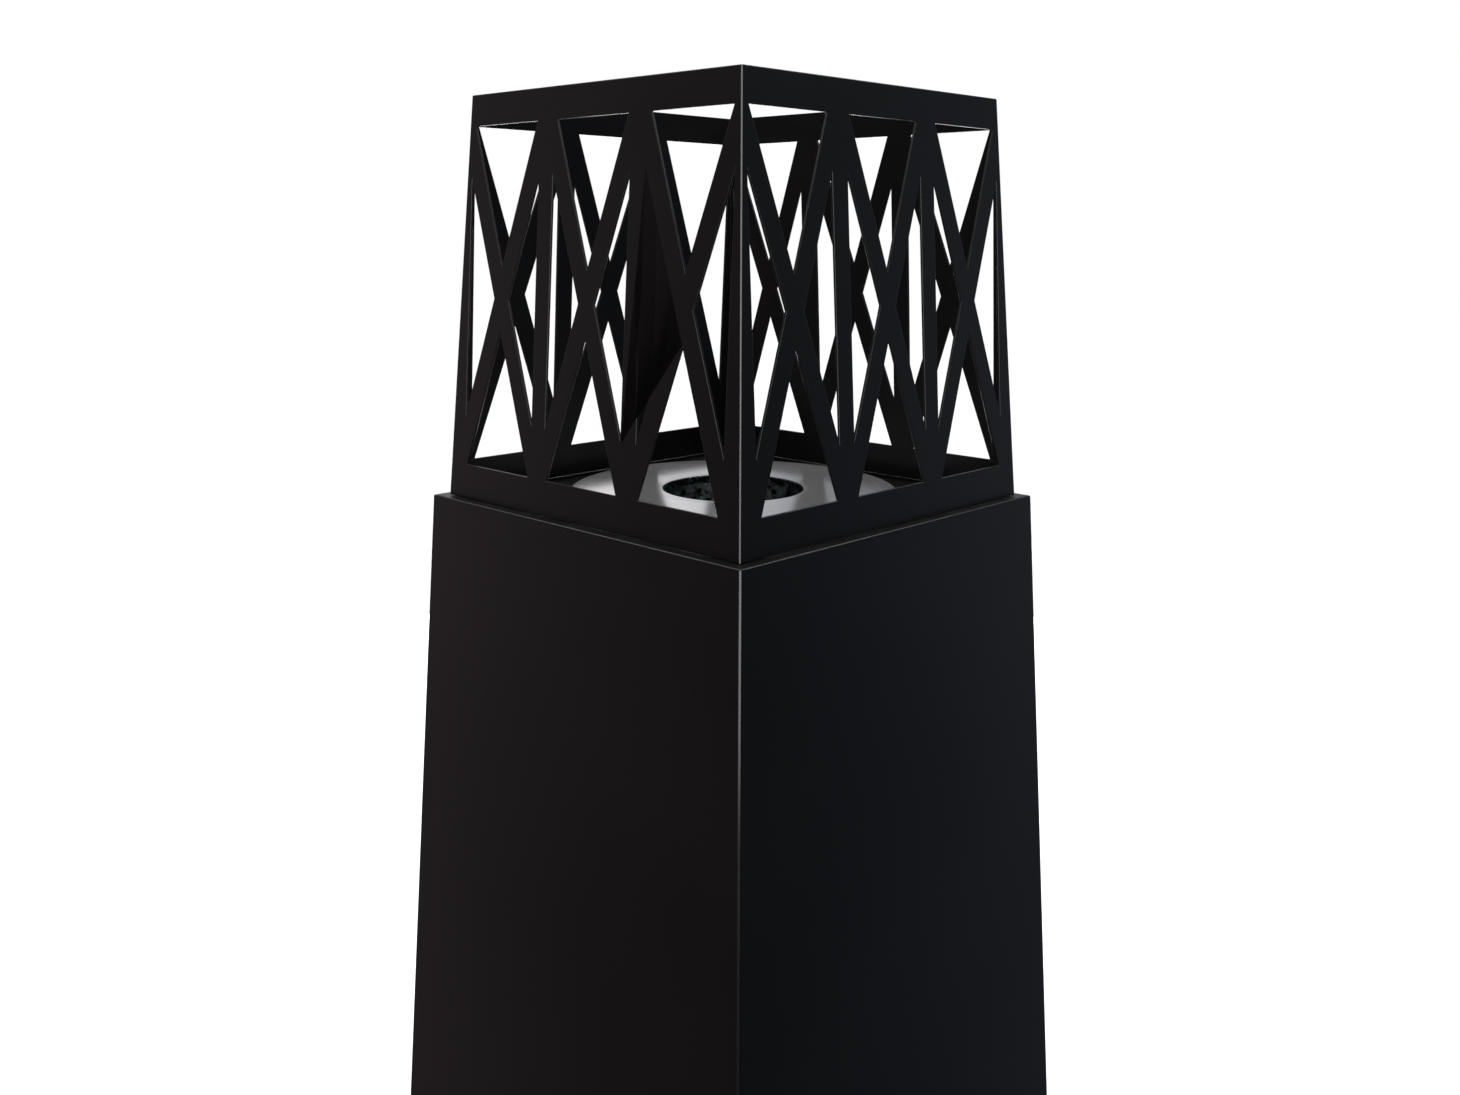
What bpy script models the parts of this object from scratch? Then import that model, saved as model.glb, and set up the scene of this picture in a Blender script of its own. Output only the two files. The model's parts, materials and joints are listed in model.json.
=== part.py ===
"""Outdoor heater: a tapered sheet-steel column, a top-lit pellet burner and a lattice lantern.

Metres, +Z up. The origin is on the ground under the middle of the column. The column's four
faces look along -Y (0), +X (1), +Y (2) and -X (3), and a piece on a face is placed by u along
the face, z above the ground and its depth behind the face's outer skin.
"""

import math

import bmesh
import bpy
from mathutils import Matrix, Vector

# Clearances
GAP = 0.0003            # between two pieces that touch
MITRE_GAP = 0.00045     # by which the rear sheet is drawn back at each mitre
DOOR_GAP = 0.0015       # all round a door or a drawer front
OVERCUT = 0.004         # by which a cutter stands clear of what it cuts

# Column
FOOT_HEIGHT = 0.012
COLUMN_HEIGHT = 0.888
LEDGE = 0.00925         # the column's top outside the lantern
COLUMN_FLARE = 0.123    # growth of the side for each metre downwards
SHELL_SHEET = 0.002
FOLD_RADIUS = 0.0025
TOP_FOLD_RADIUS = 0.0012  # where the column's faces turn in at the top
SHELL_LIP_SEAT = 0.00175  # how far the shell's top fold reaches under the lantern's wall
ANGLE_LEG = 0.020
ANGLE_SHEET = 0.0015

# Lantern
LANTERN_BOTTOM_SIDE = 0.320
LANTERN_TOP_SIDE = 0.277
LANTERN_HEIGHT = 0.3024
LANTERN_SHEET = 0.002
LANTERN_FOLD = 0.0015
RAIL_BOTTOM = 0.0264
RAIL_TOP = 0.0224
CELLS = 3
STILE_BOTTOM = 0.0170   # from a corner to the nearest opening, above the bottom rail
STILE_TOP = 0.0032      # the same, below the top rail
POST_WIDTH = 0.0160
BAR_WIDTH = 0.0160
CROSS_SPREAD = 0.473    # a cross's ends, as a share of the cell's pitch from its middle
BRACKET_LEG = 0.018
BRACKET_HEIGHT = 0.013
BRACKET_SHEET = 0.0015
SCREW_R = 0.0015
SCREW_REACH = 0.006
SCREW_HEAD_R = 0.0035
SCREW_HEAD = 0.002
SCREW_PLACE = 0.013     # from the lantern's corner
LUG_HEIGHT = 0.0120
LUG_LEG = 0.025
LUG_SLACK = 0.0007

# Top plate and burner
TOP_PLATE_SHEET = 0.002
TOP_PLATE_ROOM = 0.0025   # between the jacket and the top plate's hole
DISC_MARGIN = 0.0287    # between the disc's edge and the lantern's outer skin
DISC_HEIGHT = 0.008
DISC_SHEET = 0.0015
DISC_EDGE_R = 0.0030
FLAME_HOLE_R = 0.056
FLAME_LIP = 0.006
TUBE_SHEET = 0.0015
TUBE_HOLE_R = 0.0026
TUBE_HOLES = 22
TUBE_ROWS = (0.013, 0.022, 0.222)  # below the disc's upper face
JACKET_ROOM = 0.0275    # from the flame hole to the jacket's outside
JACKET_SHEET = 0.0015
JACKET_LENGTH = 0.244   # from the disc's upper face to the jacket's underside
JACKET_HOLE_R = 0.006
JACKET_HOLES = 14
JACKET_HOLE_HEIGHT = 0.026
JACKET_MOUTH_LIP = 0.011  # by which the jacket's mouth is smaller than the flame hole
GRATE_THICKNESS = 0.003
GRATE_SLOT = 0.006
GRATE_SLOTS = 5
GRATE_PITCH = 0.0144
GRATE_BORDER = 0.004    # from the slots' ends to the jacket's mouth
SHIELD_ROOM = 0.023     # between the jacket's outside and the shield's
SHIELD_SHEET = 0.0015
SHIELD_FLANGE = 0.0135
SHIELD_CUTBACK = 0.009  # by which the shield is shorter than the jacket

# Ash drawer
SHELF_SHEET = 0.002
TRAY_WIDTH = 0.180
TRAY_BACK = -0.090
TRAY_HEIGHT = 0.060
TRAY_SHEET = 0.0015
TRAY_HEADROOM = 0.042   # from the tray's rim to the burner
FRONT_OVERLAP = 0.010   # by which the drawer's front is wider than the tray, each side
FRONT_DROP = 0.0052     # by which it hangs below the shelf
FRONT_HEIGHT = 0.084
RUNNER_LEG = 0.010
RUNNER_SHEET = 0.0015
PULL_LENGTH = 0.090
PULL_REACH = 0.026
PULL_R = 0.004
PULL_BEND = 0.012

# Service door, hinges and latch
DOOR_WIDTH = 0.240
DOOR_ABOVE_FEET = 0.138
DOOR_BELOW_SHELF = 0.0597
DOOR_DEPTH = 0.010
DOOR_SHEET = 0.0015
HINGE_INSET = 0.065                # from the door's ends to the hinges' middles
HINGE_LENGTH = 0.050
HINGE_MIDDLE = 0.020               # the door leaf's knuckle
HINGE_LEAF = 0.022
HINGE_SHEET = 0.0015
KNUCKLE_R = 0.005
PIN_R = 0.0025
PIN_HEAD_R = 0.0040
PIN_HEAD = 0.002
AXIS_STANDOFF = 0.0055             # the hinge axis in front of the skin
LATCH_INSET = 0.025                # from the door's free edge
SPINDLE_R = 0.004
KNOB_R = 0.015
KNOB_HEIGHT = 0.018
KNOB_BASE = 0.006                  # from the skin to the grip
KNOB_NECK_R = 0.008
KNOB_NECK = 0.004
KNOB_CHAMFER = 0.003
CAM_LENGTH = 0.046
CAM_WIDTH = 0.014
CAM_TIP = 0.7                      # width at the end, as a share of the rest
CAM_SHEET = 0.002
CAM_CLEARANCE = 0.0015             # between the door's returns and the cam
STRIKE_WIDTH = 0.018
STRIKE_HEIGHT = 0.030

# Air slide
SLIDE_ABOVE_DRAWER = 0.0515
SLIDE_SHEET = 0.0015
SLIDE_MARGIN = 0.006
AIR_SLOTS = 6
AIR_SLOT_WIDTH = 0.008
AIR_SLOT_HEIGHT = 0.030
AIR_SLOT_PITCH = 0.020
GUIDE_LIP = 0.004
SLIDE_TRAVEL = 0.010
SLIDE_KNOB_R = 0.008
SLIDE_KNOB_HEIGHT = 0.012
SLIDE_KNOB_CHAMFER = 0.002
SLIDE_STEM_R = 0.0025

# Base and feet
BASE_SHEET = 0.003
FOOT_R = 0.021
FOOT_INSET = 0.038
FOOT_CHAMFER = 0.002
FOOT_TAPER = 0.003
FOOT_BOLT_R = 0.004
FOOT_BOLT_HEAD_R = 0.0075
FOOT_BOLT_HEAD = 0.0055
FOOT_BOLT_DEPTH = 0.008

ROUND = 48              # steps round a large turned piece
MIDDLE_ROUND = 24       # steps round a foot or a knob
SMALL_ROUND = 20        # steps round a bolt or a knuckle
SCREW_ROUND = 12        # steps round a screw
HOLE_ROUND = 6          # steps round an air hole
SMOOTH_ANGLE = 35       # degrees, up to which an edge is shaded smooth

# Sizes that follow from those above
COLUMN_TOP_SIDE = LANTERN_BOTTOM_SIDE + 2 * LEDGE
COLUMN_TOP = FOOT_HEIGHT + COLUMN_HEIGHT
LANTERN_BOTTOM = COLUMN_TOP + GAP
LANTERN_TOP = LANTERN_BOTTOM + LANTERN_HEIGHT
SHELL_FLANGE = LEDGE + SHELL_LIP_SEAT
TOP_PLATE_TOP = COLUMN_TOP - SHELL_SHEET - GAP
TOP_PLATE_BOTTOM = TOP_PLATE_TOP - TOP_PLATE_SHEET
DISC_R = LANTERN_BOTTOM_SIDE / 2 - DISC_MARGIN
DISC_BOTTOM = TOP_PLATE_TOP + GAP
DISC_TOP = DISC_BOTTOM + DISC_HEIGHT
JACKET_R = FLAME_HOLE_R + JACKET_ROOM
JACKET_MOUTH_R = FLAME_HOLE_R - JACKET_MOUTH_LIP
JACKET_BOTTOM = DISC_TOP - JACKET_LENGTH
SHIELD_R = JACKET_R + SHIELD_ROOM
SHELF_TOP = JACKET_BOTTOM - TRAY_HEADROOM - TRAY_HEIGHT - GAP
DRAWER_WIDTH = TRAY_WIDTH + 2 * FRONT_OVERLAP
DRAWER_BOTTOM = SHELF_TOP - FRONT_DROP
DRAWER_TOP = DRAWER_BOTTOM + FRONT_HEIGHT
DOOR_BOTTOM = FOOT_HEIGHT + DOOR_ABOVE_FEET
DOOR_TOP = SHELF_TOP - DOOR_BELOW_SHELF
DOOR_MIDDLE = (DOOR_BOTTOM + DOOR_TOP) / 2
HINGE_U = -(DOOR_WIDTH + DOOR_GAP) / 2
SLIDE_Z = DRAWER_TOP + SLIDE_ABOVE_DRAWER
BASE_TOP = FOOT_HEIGHT + BASE_SHEET
REAR = 2                # the face that carries the door, the drawer and the air slide


def column_half(z):
    """Half the column's side at height z."""
    return (COLUMN_TOP_SIDE + COLUMN_FLARE * (COLUMN_TOP - z)) / 2


def lantern_half(z):
    """Half the lantern's side at height z."""
    share = (z - LANTERN_BOTTOM) / LANTERN_HEIGHT
    return (LANTERN_BOTTOM_SIDE + (LANTERN_TOP_SIDE - LANTERN_BOTTOM_SIDE) * share) / 2


def new_material(name, colour, roughness, metallic):
    material = bpy.data.materials.new(name)
    material.use_nodes = True
    shader = material.node_tree.nodes["Principled BSDF"]
    shader.inputs["Base Color"].default_value = (*colour, 1.0)
    shader.inputs["Roughness"].default_value = roughness
    shader.inputs["Metallic"].default_value = metallic
    return material


def quarter_turns(face):
    return Matrix.Rotation(face * math.pi / 2, 4, "Z")


def on_face(face, u, z, depth, half_at):
    """The point at u and z, this deep behind the skin of a tapered box's face."""
    return quarter_turns(face) @ Vector((u, depth - half_at(z), z))


def face_frame(face, u, z, half_at):
    """A frame on the skin: X along the face, Y up the slope, Z straight out."""
    lean = math.atan(half_at(z) - half_at(z + 1.0))
    tilt = Matrix.Rotation(math.pi / 2 - lean, 4, "X")
    return quarter_turns(face) @ Matrix.Translation((u, -half_at(z), z)) @ tilt


def add_object(name, bm, material, smooth_angle=None, frame=None):
    """Turns a bmesh into a named object with its faces pointing out."""
    if frame is not None:
        bm.transform(frame)
    bm.normal_update()
    bmesh.ops.recalc_face_normals(bm, faces=bm.faces)
    mesh = bpy.data.meshes.new(name)
    bm.to_mesh(mesh)
    bm.free()
    if smooth_angle is not None:
        mesh.shade_smooth()
        mesh.set_sharp_from_angle(angle=math.radians(smooth_angle))
    obj = bpy.data.objects.new(name, mesh)
    bpy.context.scene.collection.objects.link(obj)
    if material is not None:
        mesh.materials.append(material)
    return obj


def as_tool(obj):
    """Keeps a shape that only cuts or joins out of renders."""
    obj.hide_render = True
    obj.display_type = "WIRE"
    return obj


def combine(obj, tool, operation):
    modifier = obj.modifiers.new(tool.name, "BOOLEAN")
    modifier.operation = operation
    modifier.object = as_tool(tool)
    modifier.solver = "EXACT"


def cut(obj, bm, frame=None):
    combine(obj, add_object(f"{obj.name}_cutter", bm, None, frame=frame), "DIFFERENCE")


def join(obj, bm, frame=None):
    combine(obj, add_object(f"{obj.name}_joined", bm, None, frame=frame), "UNION")


def add_loft(bm, rings):
    """Skins rings that have the same number of points, and closes both ends."""
    loops = [[bm.verts.new(point) for point in ring] for ring in rings]
    count = len(loops[0])
    for low, high in zip(loops, loops[1:]):
        for i in range(count):
            j = (i + 1) % count
            bm.faces.new((low[i], low[j], high[j], high[i]))
    bm.faces.new(loops[0][::-1])
    bm.faces.new(loops[-1])
    return loops


def add_box(bm, low, high):
    corners = [(low[0], low[1]), (high[0], low[1]), (high[0], high[1]), (low[0], high[1])]
    add_loft(bm, [[(x, y, z) for x, y in corners] for z in (low[2], high[2])])


def add_face_prism(bm, face, outline, depths, half_at):
    """A flat outline of (u, z) points carried through the wall of a face."""
    add_loft(bm, [[on_face(face, u, z, depth, half_at) for u, z in outline] for depth in depths])


def rectangle(u_low, u_high, z_low, z_high):
    return [(u_low, z_low), (u_high, z_low), (u_high, z_high), (u_low, z_high)]


def add_cylinder(bm, radius, low, high, steps, frame=None):
    """A cylinder along Z, or along the frame's Z, from low to high."""
    matrix = Matrix.Translation((0, 0, (low + high) / 2))
    if frame is not None:
        matrix = frame @ matrix
    bmesh.ops.create_cone(
        bm, cap_ends=True, segments=steps, radius1=radius, radius2=radius, depth=high - low, matrix=matrix
    )


def turned(name, profile, steps, material, frame=None):
    """Spins a closed outline of (radius, z) points round Z."""
    bm = bmesh.new()
    points = [bm.verts.new((radius, 0, z)) for radius, z in profile]
    edges = [bm.edges.new((points[i - 1], points[i])) for i in range(len(points))]
    bmesh.ops.spin(
        bm, geom=points + edges, cent=(0, 0, 0), axis=(0, 0, 1),
        angle=2 * math.pi, steps=steps, use_merge=True
    )
    bmesh.ops.remove_doubles(bm, verts=bm.verts, dist=1e-6)
    return add_object(name, bm, material, smooth_angle=SMOOTH_ANGLE, frame=frame)


def arc(centre, radius, start, end, steps):
    """Points of an arc in the (radius, z) plane, between two angles in degrees."""
    angles = [math.radians(start + (end - start) * i / steps) for i in range(steps + 1)]
    return [(centre[0] + radius * math.cos(a), centre[1] + radius * math.sin(a)) for a in angles]


def folded_pair(name, half_at, profile, fold_radius, relief, turn, material, top_radius=None):
    """Two neighbouring faces folded from one sheet, mitred where they meet the other pair.

    The profile is a closed outline of (depth, z) points that starts at the outer skin's bottom
    and goes up. Relief draws both mitres back along the faces.
    """
    rings = {"start": [], "fold": [], "end": []}
    for depth, z in profile:
        half = half_at(z)
        rings["start"].append((depth + relief - half, depth - half, z))
        rings["fold"].append((half - depth, depth - half, z))
        rings["end"].append((half - depth, half - depth - relief, z))
    placed = [[quarter_turns(turn) @ Vector(point) for point in ring] for ring in rings.values()]
    bm = bmesh.new()
    start, fold, end = add_loft(bm, placed)
    weight = bm.edges.layers.float.new("bevel_weight_edge")
    bm.edges.get((fold[0], fold[1]))[weight] = 1.0
    if top_radius:
        for pair in ((start[1], fold[1]), (fold[1], end[1])):
            bm.edges.get(pair)[weight] = top_radius / fold_radius
    panel = add_object(name, bm, material, smooth_angle=SMOOTH_ANGLE)
    folds = panel.modifiers.new("folds", "BEVEL")
    folds.limit_method, folds.width, folds.segments = "WEIGHT", fold_radius, 3
    return panel


def corner_angle(name, half_at, z_range, offset, leg, sheet, turn, material):
    """An angle section up the inside of a tapered corner."""
    rings = []
    for z in z_range:
        low = offset - half_at(z)
        plan = [
            (low, low), (low + leg, low), (low + leg, low + sheet),
            (low + sheet, low + sheet), (low + sheet, low + leg), (low, low + leg),
        ]
        rings.append([quarter_turns(turn) @ Vector((x, y, z)) for x, y in plan])
    bm = bmesh.new()
    add_loft(bm, rings)
    return add_object(name, bm, material)


def square_plate(name, z_range, inset, material):
    """A plate that fills the column from wall to wall, this far behind the skin."""
    bm = bmesh.new()
    rings = []
    for z in z_range:
        side = column_half(z) - inset
        rings.append([(-side, -side, z), (side, -side, z), (side, side, z), (-side, side, z)])
    add_loft(bm, rings)
    return add_object(name, bm, material)


# The lattice: three cells side by side on each face, each with a cross between two posts


def edge_line(u_low, u_high, half_width, side):
    """(u at z = 0, slope) of one edge of a bar between the two rails."""
    z_low = LANTERN_BOTTOM + RAIL_BOTTOM
    z_high = LANTERN_TOP - RAIL_TOP
    slope = (u_high - u_low) / (z_high - z_low)
    across = half_width * math.hypot(1, slope)
    return u_low - slope * z_low + side * across, slope


def u_at(line, z):
    return line[0] + line[1] * z


def meeting(first, second):
    z = (second[0] - first[0]) / (first[1] - second[1])
    return u_at(first, z), z


def lattice_openings():
    """The four three-cornered openings of each cell, as (u, z) outlines."""
    z_low = LANTERN_BOTTOM + RAIL_BOTTOM
    z_high = LANTERN_TOP - RAIL_TOP
    bar, post = BAR_WIDTH / 2, POST_WIDTH / 2
    pitch_low = 2 * (lantern_half(z_low) - STILE_BOTTOM + post) / CELLS
    pitch_high = 2 * (lantern_half(z_high) - STILE_TOP + post) / CELLS
    openings = []
    for cell in range(CELLS):
        middle = cell - (CELLS - 1) / 2
        low_left, low_right = [(middle + s * CROSS_SPREAD) * pitch_low for s in (-1, 1)]
        high_left, high_right = [(middle + s * CROSS_SPREAD) * pitch_high for s in (-1, 1)]
        rising = {side: edge_line(low_left, high_right, bar, side) for side in (-1, 1)}
        falling = {side: edge_line(low_right, high_left, bar, side) for side in (-1, 1)}
        openings.append([
            (u_at(falling[1], z_high), z_high), (u_at(rising[-1], z_high), z_high),
            meeting(falling[1], rising[-1]),
        ])
        openings.append([
            (u_at(rising[1], z_low), z_low), (u_at(falling[-1], z_low), z_low),
            meeting(rising[1], falling[-1]),
        ])
        for side, upper, lower in ((-1, falling, rising), (1, rising, falling)):
            place = middle + side / 2
            inner = edge_line(place * pitch_low, place * pitch_high, post, -side)
            openings.append([
                meeting(inner, upper[side]), meeting(upper[side], lower[side]),
                meeting(inner, lower[side]),
            ])
    return openings


def make_lantern(coat, steel):
    profile = [
        (0, LANTERN_BOTTOM), (0, LANTERN_TOP), (LANTERN_SHEET, LANTERN_TOP), (LANTERN_SHEET, LANTERN_BOTTOM),
    ]
    panels = []
    for name, turn, relief in (("lantern_front_panel", 0, 0.0), ("lantern_rear_panel", 2, MITRE_GAP)):
        panel = folded_pair(name, lantern_half, profile, LANTERN_FOLD, relief, turn, coat)
        bm = bmesh.new()
        for face in (turn, turn + 1):
            for outline in lattice_openings():
                depths = (-LANTERN_SHEET, 2 * LANTERN_SHEET)
                add_face_prism(bm, face, outline, depths, lantern_half)
        cut(panel, bm)
        panels.append(panel)

    # Brackets behind the rails join the two panels at their mitres, screwed through the rear one.
    rails = {
        "bottom": LANTERN_BOTTOM + RAIL_BOTTOM - BRACKET_HEIGHT,
        "top": LANTERN_TOP - (RAIL_TOP - BRACKET_HEIGHT) / 2 - BRACKET_HEIGHT,
    }
    rear_holes = bmesh.new()
    for side, turn, face, way in (("left", 0, 3, 1), ("right", 2, REAR, -1)):
        for level, low in rails.items():
            bracket = corner_angle(
                f"lantern_bracket_{level}_{side}", lantern_half, (low, low + BRACKET_HEIGHT),
                LANTERN_SHEET + GAP, BRACKET_LEG, BRACKET_SHEET, turn, coat
            )
            z = low + BRACKET_HEIGHT / 2
            frame = face_frame(face, way * (lantern_half(z) - SCREW_PLACE), z, lantern_half)
            hole = bmesh.new()
            for tool in (hole, rear_holes):
                add_cylinder(tool, SCREW_R + GAP, -2 * SCREW_REACH, SCREW_REACH, SCREW_ROUND, frame)
            cut(bracket, hole)
            dome = [(SCREW_HEAD_R * x, GAP + SCREW_HEAD * y) for x, y in arc((0, 0), 1.0, 90, 0, 4)[1:]]
            outline = [
                (0, GAP + SCREW_HEAD), *dome, (SCREW_R, GAP), (SCREW_R, -SCREW_REACH), (0, -SCREW_REACH),
            ]
            solid_of_revolution(f"lantern_screw_{level}_{side}", outline, steel, frame, SCREW_ROUND)
    cut(panels[1], rear_holes)


def solid_of_revolution(name, outline, material, frame=None, steps=SMALL_ROUND):
    """Spins an open outline whose two ends lie on the axis."""
    bm = bmesh.new()
    points = [bm.verts.new((radius, 0, z)) for radius, z in outline]
    edges = [bm.edges.new(pair) for pair in zip(points, points[1:])]
    bmesh.ops.spin(
        bm, geom=points + edges, cent=(0, 0, 0), axis=(0, 0, 1),
        angle=2 * math.pi, steps=steps, use_merge=True
    )
    bmesh.ops.remove_doubles(bm, verts=bm.verts, dist=1e-6)
    return add_object(name, bm, material, smooth_angle=SMOOTH_ANGLE, frame=frame)


def make_column(coat, zinc):
    profile = [
        (0, FOOT_HEIGHT), (0, COLUMN_TOP), (SHELL_FLANGE, COLUMN_TOP),
        (SHELL_FLANGE, COLUMN_TOP - SHELL_SHEET), (SHELL_SHEET, COLUMN_TOP - SHELL_SHEET),
        (SHELL_SHEET, FOOT_HEIGHT),
    ]
    folded_pair("front_shell", column_half, profile, FOLD_RADIUS, 0.0, 0, coat, TOP_FOLD_RADIUS)
    rear = folded_pair("rear_shell", column_half, profile, FOLD_RADIUS, MITRE_GAP, 2, coat, TOP_FOLD_RADIUS)

    holes = bmesh.new()
    through = (-SHELL_SHEET, 2 * SHELL_SHEET)
    for half_width, low, high in (
        (DOOR_WIDTH / 2, DOOR_BOTTOM, DOOR_TOP), (DRAWER_WIDTH / 2, DRAWER_BOTTOM, DRAWER_TOP)
    ):
        reach = half_width + DOOR_GAP
        outline = rectangle(-reach, reach, low - DOOR_GAP, high + DOOR_GAP)
        add_face_prism(holes, REAR, outline, through, column_half)
    for outline in air_slots():
        add_face_prism(holes, REAR, outline, through, column_half)
    stem, start = SLIDE_STEM_R + DOOR_GAP, slide_knob_u()
    outline = rectangle(start - stem, start + SLIDE_TRAVEL + stem, SLIDE_Z - stem, SLIDE_Z + stem)
    add_face_prism(holes, REAR, outline, through, column_half)
    cut(rear, holes)

    inside = SHELL_SHEET + GAP
    top_plate = square_plate("top_plate", (TOP_PLATE_BOTTOM, TOP_PLATE_TOP), inside, coat)
    hole = bmesh.new()
    add_cylinder(hole, JACKET_R + TOP_PLATE_ROOM, TOP_PLATE_BOTTOM - OVERCUT, TOP_PLATE_TOP + OVERCUT, ROUND)
    cut(top_plate, hole)

    for name, turn in (("corner_angle_left", 0), ("corner_angle_right", 2)):
        heights = (BASE_TOP + GAP, TOP_PLATE_BOTTOM - GAP)
        corner_angle(name, column_half, heights, inside, ANGLE_LEG, ANGLE_SHEET, turn, zinc)

    for turn, name in enumerate(("left", "front", "right", "back")):
        corner_angle(
            f"locating_lug_{name}", lantern_half, (TOP_PLATE_TOP + GAP, TOP_PLATE_TOP + GAP + LUG_HEIGHT),
            LANTERN_SHEET + LUG_SLACK, LUG_LEG, BRACKET_SHEET, turn, coat
        )

    top = TOP_PLATE_BOTTOM - GAP
    bottom = top - JACKET_LENGTH + SHIELD_CUTBACK
    flange_r, inner_r = SHIELD_R + SHIELD_FLANGE, SHIELD_R - SHIELD_SHEET
    turned("heat_shield", [
        (SHIELD_R, bottom), (SHIELD_R, top - SHIELD_SHEET), (flange_r, top - SHIELD_SHEET),
        (flange_r, top), (inner_r, top), (inner_r, bottom),
    ], ROUND, zinc)


def make_burner(stainless, heat_steel):
    zt, zb = DISC_TOP, DISC_BOTTOM
    r, s = DISC_EDGE_R, DISC_SHEET
    lip = zt - FLAME_LIP
    turned("burner_disc", [
        (DISC_R, zb), *arc((DISC_R - r, zt - r), r, 0, 90, 3),
        *arc((FLAME_HOLE_R + r, zt - r), r, 90, 180, 3), (FLAME_HOLE_R, lip),
        (FLAME_HOLE_R + s, lip), (FLAME_HOLE_R + s, zt - r), (FLAME_HOLE_R + r, zt - s),
        (DISC_R - r, zt - s), (DISC_R - s, zt - r), (DISC_R - s, zb),
    ], ROUND, stainless)

    tube_in = FLAME_HOLE_R + DISC_SHEET + GAP
    tube_out = tube_in + TUBE_SHEET
    under_disc = DISC_TOP - DISC_SHEET - GAP
    jacket_floor = JACKET_BOTTOM + JACKET_SHEET
    tube_bottom = jacket_floor + GAP
    tube_top = DISC_TOP - DISC_EDGE_R - GAP
    tube = turned("fire_tube", [
        (tube_out, tube_bottom), (tube_out, tube_top), (tube_in, tube_top), (tube_in, tube_bottom),
    ], ROUND, heat_steel)
    holes = bmesh.new()
    for row, below in enumerate(TUBE_ROWS):
        add_ring_of_holes(holes, TUBE_HOLE_R, TUBE_HOLES, DISC_TOP - below, tube_in, tube_out, row % 2)
    cut(tube, holes)

    jacket_in = JACKET_R - JACKET_SHEET
    jacket = turned("air_jacket", [
        (JACKET_MOUTH_R, JACKET_BOTTOM), (JACKET_R, JACKET_BOTTOM), (JACKET_R, under_disc),
        (jacket_in, under_disc), (jacket_in, jacket_floor), (JACKET_MOUTH_R, jacket_floor),
    ], ROUND, heat_steel)
    holes = bmesh.new()
    z = JACKET_BOTTOM + JACKET_HOLE_HEIGHT
    add_ring_of_holes(holes, JACKET_HOLE_R, JACKET_HOLES, z, jacket_in, JACKET_R, 0)
    cut(jacket, holes)

    bm = bmesh.new()
    grate_r = tube_in - 2 * GAP
    add_cylinder(bm, grate_r, tube_bottom, tube_bottom + GRATE_THICKNESS, ROUND)
    grate = add_object("burner_grate", bm, heat_steel, smooth_angle=SMOOTH_ANGLE)
    slots = bmesh.new()
    for i in range(GRATE_SLOTS):
        x = (i - (GRATE_SLOTS - 1) / 2) * GRATE_PITCH
        reach = math.sqrt((JACKET_MOUTH_R - GRATE_BORDER) ** 2 - x ** 2)
        low = (x - GRATE_SLOT / 2, -reach, tube_bottom - OVERCUT)
        add_box(slots, low, (x + GRATE_SLOT / 2, reach, tube_bottom + GRATE_THICKNESS + OVERCUT))
    cut(grate, slots)


def add_ring_of_holes(bm, hole_r, count, z, inner_r, outer_r, stagger):
    """Round cutters set radially through a tube's wall."""
    for i in range(count):
        turn = Matrix.Rotation(2 * math.pi * (i + stagger / 2) / count, 4, "Z")
        frame = turn @ Matrix.Translation((0, 0, z)) @ Matrix.Rotation(math.pi / 2, 4, "Y")
        add_cylinder(bm, hole_r, inner_r - hole_r, outer_r + hole_r, HOLE_ROUND, frame)


def add_tray_block(bm, half_width, back, front_depth, low, high):
    """A block whose front follows the slope of the rear face."""
    rings = []
    for x in (-half_width, half_width):
        rings.append([
            (x, back, low), (x, column_half(low) - front_depth, low),
            (x, column_half(high) - front_depth, high), (x, back, high),
        ])
    add_loft(bm, rings)


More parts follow.
